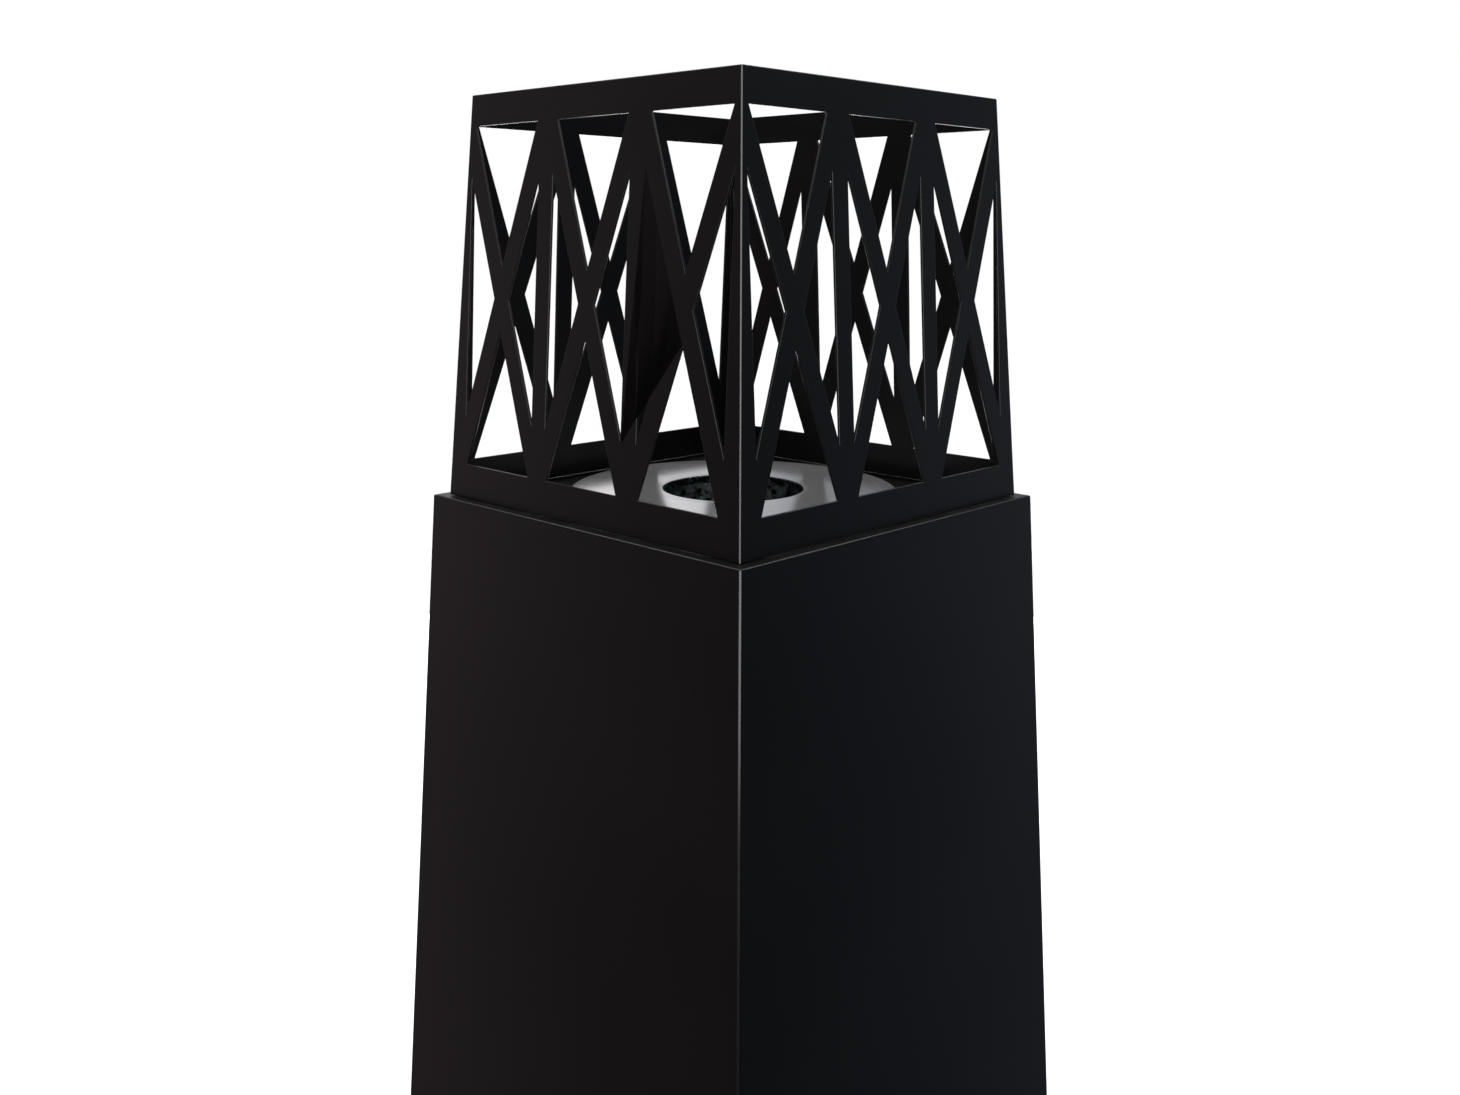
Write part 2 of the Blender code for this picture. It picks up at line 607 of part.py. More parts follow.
def make_drawer(coat, zinc, steel):
    shelf_low = SHELF_TOP - SHELF_SHEET
    shelf = square_plate("burner_shelf", (shelf_low, SHELF_TOP), SHELL_SHEET + GAP, zinc)
    holes = bmesh.new()
    notch = ANGLE_LEG + 2 * GAP
    for way in (-1, 1):
        corner = way * (column_half(shelf_low) - SHELL_SHEET)
        inner = way * (abs(corner) - notch)
        low, high = min(corner, inner), max(corner, inner)
        add_box(holes, (low, low, shelf_low - OVERCUT), (high, high, SHELF_TOP + OVERCUT))
    cut(shelf, holes)

    tray_low = SHELF_TOP + GAP
    tray_high = tray_low + TRAY_HEIGHT
    front = SHELL_SHEET + GAP
    bm = bmesh.new()
    add_tray_block(bm, TRAY_WIDTH / 2, TRAY_BACK, front, tray_low, tray_high)
    tray = add_object("ash_tray", bm, zinc)
    pocket = bmesh.new()
    add_tray_block(
        pocket, TRAY_WIDTH / 2 - TRAY_SHEET, TRAY_BACK + TRAY_SHEET, front + TRAY_SHEET,
        tray_low + TRAY_SHEET, tray_high + OVERCUT
    )
    cut(tray, pocket)

    for name, way in (("drawer_runner_left", -1), ("drawer_runner_right", 1)):
        bm = bmesh.new()
        inner = TRAY_WIDTH / 2 + 2 * GAP
        plan = [
            (inner, tray_low), (inner + RUNNER_LEG, tray_low), (inner + RUNNER_LEG, tray_low + RUNNER_SHEET),
            (inner + RUNNER_SHEET, tray_low + RUNNER_SHEET), (inner + RUNNER_SHEET, tray_low + RUNNER_LEG),
            (inner, tray_low + RUNNER_LEG),
        ]
        runner_front = column_half(tray_low + RUNNER_LEG) - front - GAP
        add_loft(bm, [[(way * x, y, z) for x, z in plan] for y in (TRAY_BACK, runner_front)])
        add_object(name, bm, zinc)

    bm = bmesh.new()
    outline = rectangle(-DRAWER_WIDTH / 2, DRAWER_WIDTH / 2, DRAWER_BOTTOM, DRAWER_TOP)
    add_face_prism(bm, REAR, outline, (0, SHELL_SHEET), column_half)
    add_object("drawer_front", bm, coat)

    middle = (DRAWER_BOTTOM + DRAWER_TOP) / 2
    pull_path = []
    reach, half = GAP + PULL_REACH, PULL_LENGTH / 2
    for way in (-1, 1):
        bend = [
            (way * (half - PULL_BEND + x), reach - PULL_BEND + y)
            for x, y in arc((0, 0), PULL_BEND, 0, 90, 5)
        ]
        leg = [(way * half, GAP), *bend]
        pull_path += leg if way < 0 else leg[::-1]
    frame = face_frame(REAR, 0, middle, column_half)
    bar_object("drawer_pull", [frame @ Vector((x, 0, w)) for x, w in pull_path], PULL_R, steel)


def bar_object(name, path, radius, material):
    """A round bar along a path, with flat ends."""
    curve = bpy.data.curves.new(name, "CURVE")
    curve.dimensions = "3D"
    curve.bevel_depth = radius
    curve.bevel_resolution = 3
    curve.use_fill_caps = True
    spline = curve.splines.new("POLY")
    spline.points.add(len(path) - 1)
    for point, place in zip(spline.points, path):
        point.co = (*place, 1.0)
    curve.materials.append(material)
    obj = bpy.data.objects.new(name, curve)
    bpy.context.scene.collection.objects.link(obj)
    return obj


def make_door(coat, steel):
    bm = bmesh.new()
    half = DOOR_WIDTH / 2
    add_face_prism(bm, REAR, rectangle(-half, half, DOOR_BOTTOM, DOOR_TOP), (0, DOOR_DEPTH), column_half)
    door = add_object("door_panel", bm, coat)
    pocket = bmesh.new()
    inner = rectangle(
        DOOR_SHEET - half, half - DOOR_SHEET, DOOR_BOTTOM + DOOR_SHEET, DOOR_TOP - DOOR_SHEET
    )
    add_face_prism(pocket, REAR, inner, (SHELL_SHEET, 2 * DOOR_DEPTH), column_half)
    cut(door, pocket)

    for level, z in (("lower", DOOR_BOTTOM + HINGE_INSET), ("upper", DOOR_TOP - HINGE_INSET)):
        make_hinge(level, face_frame(REAR, HINGE_U, z, column_half), steel)
    latch_frame = make_latch(door, coat, steel)

    hinge_frame = face_frame(REAR, HINGE_U, DOOR_MIDDLE, column_half)
    put_origin(("door_panel", "hinge_door_leaf_lower", "hinge_door_leaf_upper"),
               hinge_frame @ Vector((0, 0, AXIS_STANDOFF)))
    put_origin(("latch_knob", "latch_cam"), latch_frame.translation)


def put_origin(names, place):
    """Moves the origins of objects to a point and leaves their shapes where they are."""
    for name in names:
        obj = bpy.data.objects[name]
        obj.data.transform(Matrix.Translation(-place))
        obj.location = place


def make_hinge(level, frame, steel):
    """A butt hinge on the skin: the frame's Y is the pin and its X points to the door."""
    along_y = Matrix.Translation((0, 0, AXIS_STANDOFF)) @ Matrix.Rotation(-math.pi / 2, 4, "X")
    half = HINGE_LENGTH / 2
    middle = HINGE_MIDDLE / 2
    knuckles = {
        "frame": [(-half, -middle - GAP), (middle + GAP, half)],
        "door": [(-middle, middle)],
    }
    for leaf, spans in knuckles.items():
        way = -1 if leaf == "frame" else 1
        near, far = way * (KNUCKLE_R + 2 * GAP), way * HINGE_LEAF
        plan = [(far, -half), (near, -half)]
        for start, end in spans:
            low, high = start + 2 * GAP, end - 2 * GAP
            plan += [(near, low), (0, low), (0, high), (near, high)]
        plan += [(near, half), (far, half)]
        bm = bmesh.new()
        add_loft(bm, [[(x, y, z) for x, y in plan] for z in (GAP, GAP + HINGE_SHEET)])
        obj = add_object(f"hinge_{leaf}_leaf_{level}", bm, steel, frame=frame)
        for start, end in spans:
            barrel = bmesh.new()
            add_cylinder(barrel, KNUCKLE_R, start, end, SMALL_ROUND, along_y)
            join(obj, barrel, frame)
        bore = bmesh.new()
        add_cylinder(bore, PIN_R + GAP, -HINGE_LENGTH, HINGE_LENGTH, SMALL_ROUND, along_y)
        cut(obj, bore, frame)
    outline = [
        (0, half + GAP + PIN_HEAD), (PIN_HEAD_R, half + GAP + PIN_HEAD), (PIN_HEAD_R, half + GAP),
        (PIN_R, half + GAP), (PIN_R, -half - PIN_HEAD), (0, -half - PIN_HEAD),
    ]
    solid_of_revolution(f"hinge_pin_{level}", outline, steel, frame @ along_y)


def make_latch(door, coat, steel):
    """A quarter-turn latch: the cam hangs down when free and turns behind the strike."""
    u = DOOR_WIDTH / 2 - LATCH_INSET
    frame = face_frame(REAR, u, DOOR_MIDDLE, column_half)
    hole = bmesh.new()
    add_cylinder(hole, SPINDLE_R + GAP, -2 * DOOR_DEPTH, DOOR_DEPTH, SMALL_ROUND, frame)
    cut(door, hole)

    cam_near = -(DOOR_DEPTH + CAM_CLEARANCE)
    cam_far = cam_near - CAM_SHEET
    outline = [
        (0, KNOB_HEIGHT), (KNOB_R - KNOB_CHAMFER, KNOB_HEIGHT), (KNOB_R, KNOB_HEIGHT - KNOB_CHAMFER),
        (KNOB_R - KNOB_CHAMFER, KNOB_BASE), (KNOB_NECK_R, KNOB_NECK), (KNOB_NECK_R, GAP), (SPINDLE_R, GAP),
        (SPINDLE_R, cam_far), (0, cam_far),
    ]
    solid_of_revolution("latch_knob", outline, coat, frame, MIDDLE_ROUND)

    bm = bmesh.new()
    half = CAM_WIDTH / 2
    bow = arc((0, 0), half, 0, 180, 8)
    plan = [*bow, (-half * CAM_TIP, half - CAM_LENGTH), (half * CAM_TIP, half - CAM_LENGTH)]
    add_loft(bm, [[(x, y, z) for x, y in plan] for z in (cam_far, cam_near)])
    cam = add_object("latch_cam", bm, steel, frame=frame)
    bore = bmesh.new()
    add_cylinder(bore, SPINDLE_R + GAP, cam_far - OVERCUT, cam_near + OVERCUT, SMALL_ROUND, frame)
    cut(cam, bore)

    bm = bmesh.new()
    near = DOOR_WIDTH / 2 + DOOR_GAP + GAP
    z_low = DOOR_MIDDLE - STRIKE_HEIGHT / 2
    outline = rectangle(near, near + STRIKE_WIDTH, z_low, z_low + STRIKE_HEIGHT)
    add_face_prism(bm, REAR, outline, (SHELL_SHEET + GAP, DOOR_DEPTH + GAP), column_half)
    add_object("latch_strike", bm, steel)
    return frame


def air_slots():
    """The air slots of the rear face, which the slide repeats."""
    low, high = SLIDE_Z - AIR_SLOT_HEIGHT / 2, SLIDE_Z + AIR_SLOT_HEIGHT / 2
    outlines = []
    for i in range(AIR_SLOTS):
        left = (i - (AIR_SLOTS - 1) / 2) * AIR_SLOT_PITCH - AIR_SLOT_WIDTH / 2
        outlines.append(rectangle(left, left + AIR_SLOT_WIDTH, low, high))
    return outlines


def slide_knob_u():
    return (AIR_SLOTS + 1) / 2 * AIR_SLOT_PITCH


def make_air_slide(coat, zinc):
    half_height = AIR_SLOT_HEIGHT / 2 + SLIDE_MARGIN
    low, high = SLIDE_Z - half_height, SLIDE_Z + half_height
    left = -AIR_SLOTS / 2 * AIR_SLOT_PITCH - SLIDE_MARGIN
    right = slide_knob_u() + 2 * SLIDE_MARGIN
    near = SHELL_SHEET + GAP
    far = near + SLIDE_SHEET
    bm = bmesh.new()
    add_face_prism(bm, REAR, rectangle(left, right, low, high), (near, far), column_half)
    plate = add_object("slide_plate", bm, zinc)
    slots = bmesh.new()
    for outline in air_slots():
        add_face_prism(slots, REAR, outline, (near - OVERCUT, far + OVERCUT), column_half)
    cut(plate, slots)

    frame = face_frame(REAR, slide_knob_u(), SLIDE_Z, column_half)
    height, radius, chamfer = SLIDE_KNOB_HEIGHT, SLIDE_KNOB_R, SLIDE_KNOB_CHAMFER
    outline = [
        (0, height), (radius - chamfer, height), (radius, height - chamfer), (radius, chamfer + 2 * GAP),
        (radius - chamfer, 2 * GAP), (SLIDE_STEM_R, 2 * GAP), (SLIDE_STEM_R, -SHELL_SHEET), (0, -SHELL_SHEET),
    ]
    solid_of_revolution("slide_knob", outline, coat, frame)

    for name, way in (("slide_guide_lower", -1), ("slide_guide_upper", 1)):
        edge = SLIDE_Z + way * (half_height + GAP)
        outer, inner = edge + way * GUIDE_LIP, edge - way * GUIDE_LIP
        bm = bmesh.new()
        ends = (left - GUIDE_LIP, right + SLIDE_TRAVEL + GUIDE_LIP)
        section = [
            (edge, near), (outer, near), (outer, far + GAP + SLIDE_SHEET),
            (inner, far + GAP + SLIDE_SHEET), (inner, far + GAP), (edge, far + GAP),
        ]
        add_loft(bm, [[on_face(REAR, u, z, depth, column_half) for z, depth in section] for u in ends])
        add_object(name, bm, zinc)


def make_base(zinc, rubber):
    base = square_plate("base_plate", (FOOT_HEIGHT, BASE_TOP), SHELL_SHEET + GAP, zinc)
    place = column_half(FOOT_HEIGHT) - FOOT_INSET
    holes = bmesh.new()
    bolt_low = FOOT_HEIGHT - FOOT_BOLT_DEPTH
    foot_top = FOOT_HEIGHT - GAP
    for name, sx, sy in (("left", -1, -1), ("front", 1, -1), ("right", 1, 1), ("back", -1, 1)):
        frame = Matrix.Translation((sx * place, sy * place, 0))
        pocket_r = FOOT_BOLT_R + GAP
        add_cylinder(holes, pocket_r, FOOT_HEIGHT - OVERCUT, BASE_TOP + OVERCUT, SMALL_ROUND, frame)
        outline = [
            (0, 0), (FOOT_R - FOOT_CHAMFER, 0), (FOOT_R, FOOT_CHAMFER), (FOOT_R - FOOT_TAPER, foot_top),
            (pocket_r, foot_top), (pocket_r, bolt_low - GAP), (0, bolt_low - GAP),
        ]
        solid_of_revolution(f"foot_{name}", outline, rubber, frame, MIDDLE_ROUND)
        bm = bmesh.new()
        head_low = BASE_TOP + GAP
        add_cylinder(bm, FOOT_BOLT_HEAD_R, head_low, head_low + FOOT_BOLT_HEAD, 6, frame)
        bolt = add_object(f"foot_bolt_{name}", bm, zinc)
        shank = bmesh.new()
        add_cylinder(shank, FOOT_BOLT_R, bolt_low, head_low + FOOT_BOLT_HEAD / 2, SMALL_ROUND, frame)
        join(bolt, shank)
    cut(base, holes)


def main():
    for obj in list(bpy.data.objects):
        bpy.data.objects.remove(obj, do_unlink=True)
    coat = new_material("black_powder_coat", (0.012, 0.012, 0.013), 0.45, 0.0)
    stainless = new_material("brushed_stainless", (0.62, 0.62, 0.63), 0.28, 1.0)
    heat_steel = new_material("heat_worn_steel", (0.16, 0.15, 0.15), 0.5, 1.0)
    zinc = new_material("zinc_plated_sheet", (0.45, 0.46, 0.47), 0.45, 1.0)
    steel = new_material("blackened_fittings", (0.05, 0.05, 0.05), 0.4, 1.0)
    rubber = new_material("foot_rubber", (0.02, 0.02, 0.02), 0.8, 0.0)

    make_lantern(coat, steel)
    make_column(coat, zinc)
    make_burner(stainless, heat_steel)
    make_drawer(coat, zinc, steel)
    make_door(coat, steel)
    make_air_slide(coat, zinc)
    make_base(zinc, rubber)


main()
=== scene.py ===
import json
import math

import bmesh
import bpy
from mathutils import Matrix, Vector


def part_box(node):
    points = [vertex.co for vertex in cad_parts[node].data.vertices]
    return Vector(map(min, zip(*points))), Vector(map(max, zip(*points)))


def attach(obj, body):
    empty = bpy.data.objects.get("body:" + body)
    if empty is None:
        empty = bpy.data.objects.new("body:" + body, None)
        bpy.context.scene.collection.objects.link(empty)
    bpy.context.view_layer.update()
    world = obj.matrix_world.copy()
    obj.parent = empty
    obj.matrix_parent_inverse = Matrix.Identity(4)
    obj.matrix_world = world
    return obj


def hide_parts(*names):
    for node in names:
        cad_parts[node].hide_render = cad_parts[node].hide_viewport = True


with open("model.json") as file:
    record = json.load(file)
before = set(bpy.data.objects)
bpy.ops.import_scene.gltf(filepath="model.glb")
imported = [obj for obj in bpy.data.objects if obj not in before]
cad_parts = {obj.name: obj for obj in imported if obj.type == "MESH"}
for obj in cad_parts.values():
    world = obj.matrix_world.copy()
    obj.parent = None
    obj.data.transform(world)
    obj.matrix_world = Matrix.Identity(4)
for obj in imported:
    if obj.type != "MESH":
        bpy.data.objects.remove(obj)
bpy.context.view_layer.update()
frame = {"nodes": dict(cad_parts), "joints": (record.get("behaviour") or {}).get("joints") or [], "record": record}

scene = bpy.context.scene
rearFace, leftFace = 2, 3  # faces count round: -Y is 0, +X is 1, +Y is 2 and -X is 3
clearance = 0.0003         # left between two pieces that touch
sharpFrom = 35             # degrees, from which an edge is shaded sharp
gripSharpFrom = 40         # the same, on the knobs and the pull


class Wire:
    # one number in a shader; sums, products and powers on it add Math nodes
    def __init__(self, tree, socket):
        self.tree, self.socket = tree, socket

    def math(self, operation, *values):
        made = self.tree.nodes.new("ShaderNodeMath")
        made.operation = operation
        for value, entry in zip(values, made.inputs):
            connect(self.tree, value, entry)
        return Wire(self.tree, made.outputs[0])

    def __add__(self, other):
        return self.math("ADD", self, other)

    def __sub__(self, other):
        return self.math("SUBTRACT", self, other)

    def __rsub__(self, other):
        return self.math("SUBTRACT", other, self)

    def __mul__(self, other):
        return self.math("MULTIPLY", self, other)

    def __truediv__(self, other):
        return self.math("DIVIDE", self, other)

    def __pow__(self, other):
        return self.math("POWER", self, other)

    def __abs__(self):
        return self.math("ABSOLUTE", self)

    __radd__, __rmul__ = __add__, __mul__


def connect(tree, value, entry):
    # links a wire to a socket, or sets the socket to a number or a colour
    if isinstance(value, Wire):
        tree.links.new(value.socket, entry)
    elif hasattr(entry.default_value, "__len__") and len(value) < len(entry.default_value):
        entry.default_value = (*value, 1.0)
    else:
        entry.default_value = value


class NodeTree:
    def __init__(self, tree):
        self.tree = tree

    def node(self, kind, settings=None, sockets=None, output=0):
        made = self.tree.nodes.new(kind)
        for name, value in (settings or {}).items():
            setattr(made, name, value)
        for name, value in (sockets or {}).items():
            connect(self.tree, value, made.inputs[name])
        return Wire(self.tree, made.outputs[output])

    def noise(self, place, scale, detail=3.0, roughness=0.5, distortion=0.0):
        return self.node("ShaderNodeTexNoise", None, {
            "Vector": place, "Scale": scale, "Detail": detail, "Roughness": roughness,
            "Distortion": distortion,
        })

    def spread(self, value, low, high):
        # 0 at low, 1 at high and a soft step between; it falls when high is the smaller
        return self.node("ShaderNodeMapRange", {"interpolation_type": "SMOOTHSTEP"},
                         {"Value": value, "From Min": low, "From Max": high})

    def blend(self, share, first, second):
        return self.node("ShaderNodeMix", {"data_type": "RGBA"}, {0: share, 6: first, 7: second}, output=2)

    def stretch(self, place, scale):
        return self.node("ShaderNodeVectorMath", {"operation": "MULTIPLY"}, {0: place, 1: scale})

    def parts(self, vector):
        return [self.node("ShaderNodeSeparateXYZ", None, {0: vector}, output=i) for i in range(3)]


class Finish(NodeTree):
    def __init__(self, name, slot):
        self.material = bpy.data.materials.new(name)
        self.material.use_nodes = True
        super().__init__(self.material.node_tree)
        self.slot = slot
        self.shader = self.tree.nodes["Principled BSDF"]
        self.place = self.node("ShaderNodeTexCoord", output=3)  # metres, in the heater's own frame

    def surface(self, **sockets):
        for name, value in sockets.items():
            connect(self.tree, value, self.shader.inputs[name.replace("_", " ")])
        return self

    def bump(self, height, depth, strength=1.0, under=None):
        sockets = {"Height": height, "Distance": depth, "Strength": strength}
        if under is not None:
            sockets["Normal"] = under
        return self.node("ShaderNodeBump", None, sockets)

    def upward(self):
        # 1 on what faces the sky, 0 on walls and undersides
        normal = self.node("ShaderNodeNewGeometry", output=1)
        return self.spread(self.parts(normal)[2], 0.55, 0.98)


def powderCoat():
    # the pale fold colour and its three limits paint a highlight on the upright folds
    coat = {"black": (0.0012, 0.0011, 0.0012), "worn": (0.0028, 0.0026, 0.0027),
            "dust": (0.018, 0.017, 0.016), "rubbedAndHighlight": (0.125, 0.125, 0.13), "roughness": 0.37,
            "peel": 0.00006, "grain": 0.000012, "highlightWithin": 0.003, "highlightFrom": 0.71,
            "highlightFully": 0.82}
    finish = Finish("black powder coat", "black_powder_coat")
    cloud = finish.noise(finish.place, 4.5, 2.0)
    peel = finish.noise(finish.place, 620.0, 2.0)
    grain = finish.noise(finish.place, 2100.0, 1.0)
    dust = finish.upward() * finish.spread(finish.noise(finish.place, 55.0, 4.0, 0.65), 0.42, 0.75) * 0.25
    colour = finish.blend(finish.spread(cloud, 0.35, 0.7) * 0.6, coat["black"], coat["worn"])
    colour = finish.blend(dust, colour, coat["dust"])
    # painted highlight: the upright folds are painted lighter on the lantern and at the column's top, where they
    # catch the light
    x, y, z = finish.parts(finish.place)
    across, along, _ = finish.parts(finish.node("ShaderNodeNewGeometry", output=1))
    diagonal = finish.spread(abs(abs(x) - abs(y)), coat["highlightWithin"] * 1.5, coat["highlightWithin"])
    folded = finish.spread(abs(across * along), 0.28, 0.48)  # the product is 0.5 at a fold's middle
    rubbedAndHighlight = diagonal * folded * finish.spread(z, coat["highlightFrom"], coat["highlightFully"])
    colour = finish.blend(rubbedAndHighlight, colour, coat["rubbedAndHighlight"])
    height = finish.bump(grain, coat["grain"], 0.6, finish.bump(peel, coat["peel"], 0.5))
    return finish.surface(Base_Color=colour, Normal=height, Specular_IOR_Level=0.45,
                          Roughness=coat["roughness"] + (cloud - 0.5) * 0.10 + dust * 0.3)


def brushedDisc():
    steel = {"light": (0.80, 0.805, 0.815), "dark": (0.60, 0.615, 0.64), "straw": (0.50, 0.45, 0.38),
             "blue": (0.16, 0.21, 0.22), "burnt": (0.02, 0.028, 0.028), "roughness": 0.14,
             "turns": 1500.0, "bands": 260.0, "along": 2.2, "hole": 0.056, "heatReach": 0.016}
    finish = Finish("brushed stainless steel", "brushed_stainless")
    x, y, _ = finish.parts(finish.place)
    radius = (x * x + y * y) ** 0.5
    # the brush marks run round: fast across the rings, slow along them
    fine, broad = steel["along"], steel["along"] / 2
    ring = finish.node("ShaderNodeCombineXYZ", None,
                       {"X": radius * steel["turns"], "Y": x / radius * fine, "Z": y / radius * fine})
    lines = finish.noise(ring, 1.0, 3.0, 0.6)
    ring = finish.node("ShaderNodeCombineXYZ", None,
                       {"X": radius * steel["bands"], "Y": x / radius * broad, "Z": y / radius * broad})
    bands = finish.noise(ring, 1.0, 2.0)
    cloud = finish.noise(finish.place, 16.0, 3.0, 0.6)
    heat = 1.0 - finish.spread(radius, steel["hole"], steel["hole"] + steel["heatReach"])
    heat = heat * finish.spread(cloud, 0.25, 0.75)
    dark = finish.spread(cloud, 0.35, 0.7) * 0.4 + (lines - 0.5) * 0.5
    colour = finish.blend(dark, steel["light"], steel["dark"])
    colour = finish.blend(heat * 0.25, colour, steel["straw"])
    # the hole's lip is burnt blue-black, with bright flecks
    lip = 1.0 - finish.spread(radius, steel["hole"] + 0.0006, steel["hole"] + 0.0014)
    flecks = finish.noise(finish.place, 330.0, 3.0, 0.65)
    burn = finish.blend(finish.spread(flecks, 0.50, 0.62), steel["burnt"], steel["blue"])
    burn = finish.blend(finish.spread(flecks, 0.63, 0.68), burn, steel["light"])
    colour = finish.blend(lip, colour, burn)
    rough = steel["roughness"] + (lines - 0.5) * 0.12 + (bands - 0.5) * 0.06 + heat * 0.1 + lip * 0.1
    return finish.surface(Base_Color=colour, Metallic=0.80, Roughness=rough, Anisotropic=0.35,
                          Normal=finish.bump(lines, 0.00002, 0.2))


def heatSteel():
    steel = {"dark": (0.035, 0.042, 0.042), "grey": (0.30, 0.33, 0.33), "green": (0.13, 0.19, 0.175),
             "rust": (0.16, 0.10, 0.065), "bright": (0.75, 0.80, 0.80)}
    finish = Finish("heat-worn steel", "heat_worn_steel")
    patches = finish.noise(finish.place, 130.0, 5.0, 0.62, 0.6)
    fine = finish.noise(finish.place, 420.0, 4.0, 0.6)
    tint = finish.noise(finish.place, 34.0, 2.0)
    colour = finish.blend(finish.spread(patches, 0.38, 0.62), steel["dark"], steel["grey"])
    colour = finish.blend(finish.spread(tint, 0.42, 0.62) * 0.7, colour, steel["green"])
    colour = finish.blend(finish.spread(tint, 0.36, 0.22) * 0.35, colour, steel["rust"])
    # painted glints: near-white specks stand in for the small glints of light on the burnt steel
    paintedGlints = finish.spread(finish.noise(finish.place, 300.0, 1.0), 0.69, 0.76)
    colour = finish.blend(paintedGlints, colour, steel["bright"])
    return finish.surface(Base_Color=colour, Metallic=0.85, Roughness=0.42 + (patches - 0.5) * 0.5,
                          Normal=finish.bump(fine, 0.00012, 0.7))


def zincSheet():
    zinc = {"light": (0.56, 0.575, 0.59), "dark": (0.40, 0.415, 0.43), "soot": (0.10, 0.095, 0.09)}
    finish = Finish("zinc-plated sheet", "zinc_plated_sheet")
    spangle = finish.node("ShaderNodeTexVoronoi", None, {"Vector": finish.place, "Scale": 75.0}, output=1)
    flake = finish.parts(spangle)[0]
    cloud = finish.noise(finish.place, 9.0, 4.0, 0.6)
    scuff = finish.noise(finish.stretch(finish.place, (1.0, 1.0, 9.0)), 60.0, 3.0)
    colour = finish.blend(flake * 0.7 + (cloud - 0.5) * 0.4, zinc["light"], zinc["dark"])
    soot = finish.upward() * finish.spread(cloud, 0.42, 0.68) * 0.45
    colour = finish.blend(soot, colour, zinc["soot"])
    return finish.surface(Base_Color=colour, Metallic=0.9, Normal=finish.bump(scuff, 0.00004, 0.4),
                          Roughness=0.36 + flake * 0.12 + soot * 0.3 + (scuff - 0.5) * 0.1)


def blackenedSteel():
    steel = {"dark": (0.065, 0.065, 0.068), "rubbedAndHighlight": (0.20, 0.195, 0.19)}
    finish = Finish("blackened steel", "blackened_fittings")
    cloud = finish.noise(finish.place, 120.0, 4.0, 0.6)
    grain = finish.noise(finish.place, 900.0, 2.0)
    colour = finish.blend(finish.spread(cloud, 0.5, 0.72) * 0.7, steel["dark"], steel["rubbedAndHighlight"])
    return finish.surface(Base_Color=colour, Metallic=0.9, Roughness=0.38 + (cloud - 0.5) * 0.24,
                          Normal=finish.bump(grain, 0.00003, 0.5))


def mouldedRubber():
    rubber = {"black": (0.012, 0.012, 0.012), "chalk": (0.035, 0.034, 0.032)}
    finish = Finish("moulded rubber", "foot_rubber")
    cloud = finish.noise(finish.place, 70.0, 4.0)
    grain = finish.noise(finish.place, 1300.0, 2.0)
    colour = finish.blend(finish.spread(cloud, 0.45, 0.75), rubber["black"], rubber["chalk"])
    return finish.surface(Base_Color=colour, Roughness=0.72 + (cloud - 0.5) * 0.15,
                          Normal=finish.bump(grain, 0.00006, 0.6))


coat, discSteel, burnt = powderCoat(), brushedDisc(), heatSteel()
zinc, fittings, rubber = zincSheet(), blackenedSteel(), mouldedRubber()
print("finishes made")


def bodyOf(node):
    return next(body for body, nodes in frame["record"]["behaviour"]["bodies"].items() if node in nodes)


def addPiece(name, mesh, finish, body, replaced=()):
    piece = bpy.data.objects.new(name, mesh)
    scene.collection.objects.link(piece)
    mesh.materials.clear()
    mesh.materials.append(finish.material)
    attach(piece, body)
    if replaced:
        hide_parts(*replaced)
    return piece


def meshFrom(name, bm, smoothTo=sharpFrom, matrix=None):
    if matrix is not None:
        bm.transform(matrix)
    bm.normal_update()
    bmesh.ops.recalc_face_normals(bm, faces=bm.faces)
    mesh = bpy.data.meshes.new(name)
    bm.to_mesh(mesh)
    bm.free()
    mesh.shade_smooth()
    mesh.set_sharp_from_angle(angle=math.radians(smoothTo))
    return mesh


def softEdges(node, finish, width, segments):
    # the CAD sheet again, with its triangles merged into faces and a small round on each edge
    square = 30  # degrees, from which an edge is rounded
    bm = bmesh.new()
    bm.from_mesh(frame["nodes"][node].data)
    bmesh.ops.remove_doubles(bm, verts=bm.verts, dist=2e-6)
    bmesh.ops.dissolve_limit(bm, angle_limit=math.radians(0.4), verts=bm.verts, edges=bm.edges)
    piece = addPiece(node + "_shown", meshFrom(node, bm, square), finish, bodyOf(node), [node])
    bevel = piece.modifiers.new("soft edges", "BEVEL")
    bevel.width, bevel.segments, bevel.angle_limit = width, segments, math.radians(square)
    bevel.harden_normals = True
    normals = piece.modifiers.new("flat faces", "WEIGHTED_NORMAL")
    normals.keep_sharp, normals.weight = True, 80


def arc(centre, radius, start, end, steps):
    angles = [math.radians(start + (end - start) * i / steps) for i in range(steps + 1)]
    return [(centre[0] + radius * math.cos(a), centre[1] + radius * math.sin(a)) for a in angles]


def braced(outline, closed=True, near=0.0002):
    # a point just inside both ends of each straight run, so that flats stay flat beside rounds
    made = []
    for i, (r, z) in enumerate(outline):
        made.append((r, z))
        if i + 1 == len(outline) and not closed:
            break
        r2, z2 = outline[(i + 1) % len(outline)]
        length = math.hypot(r2 - r, z2 - z)
        if length > 4 * near:
            share = near / length
            made += [(r + (r2 - r) * k, z + (z2 - z) * k) for k in (share, 1 - share)]
    return made


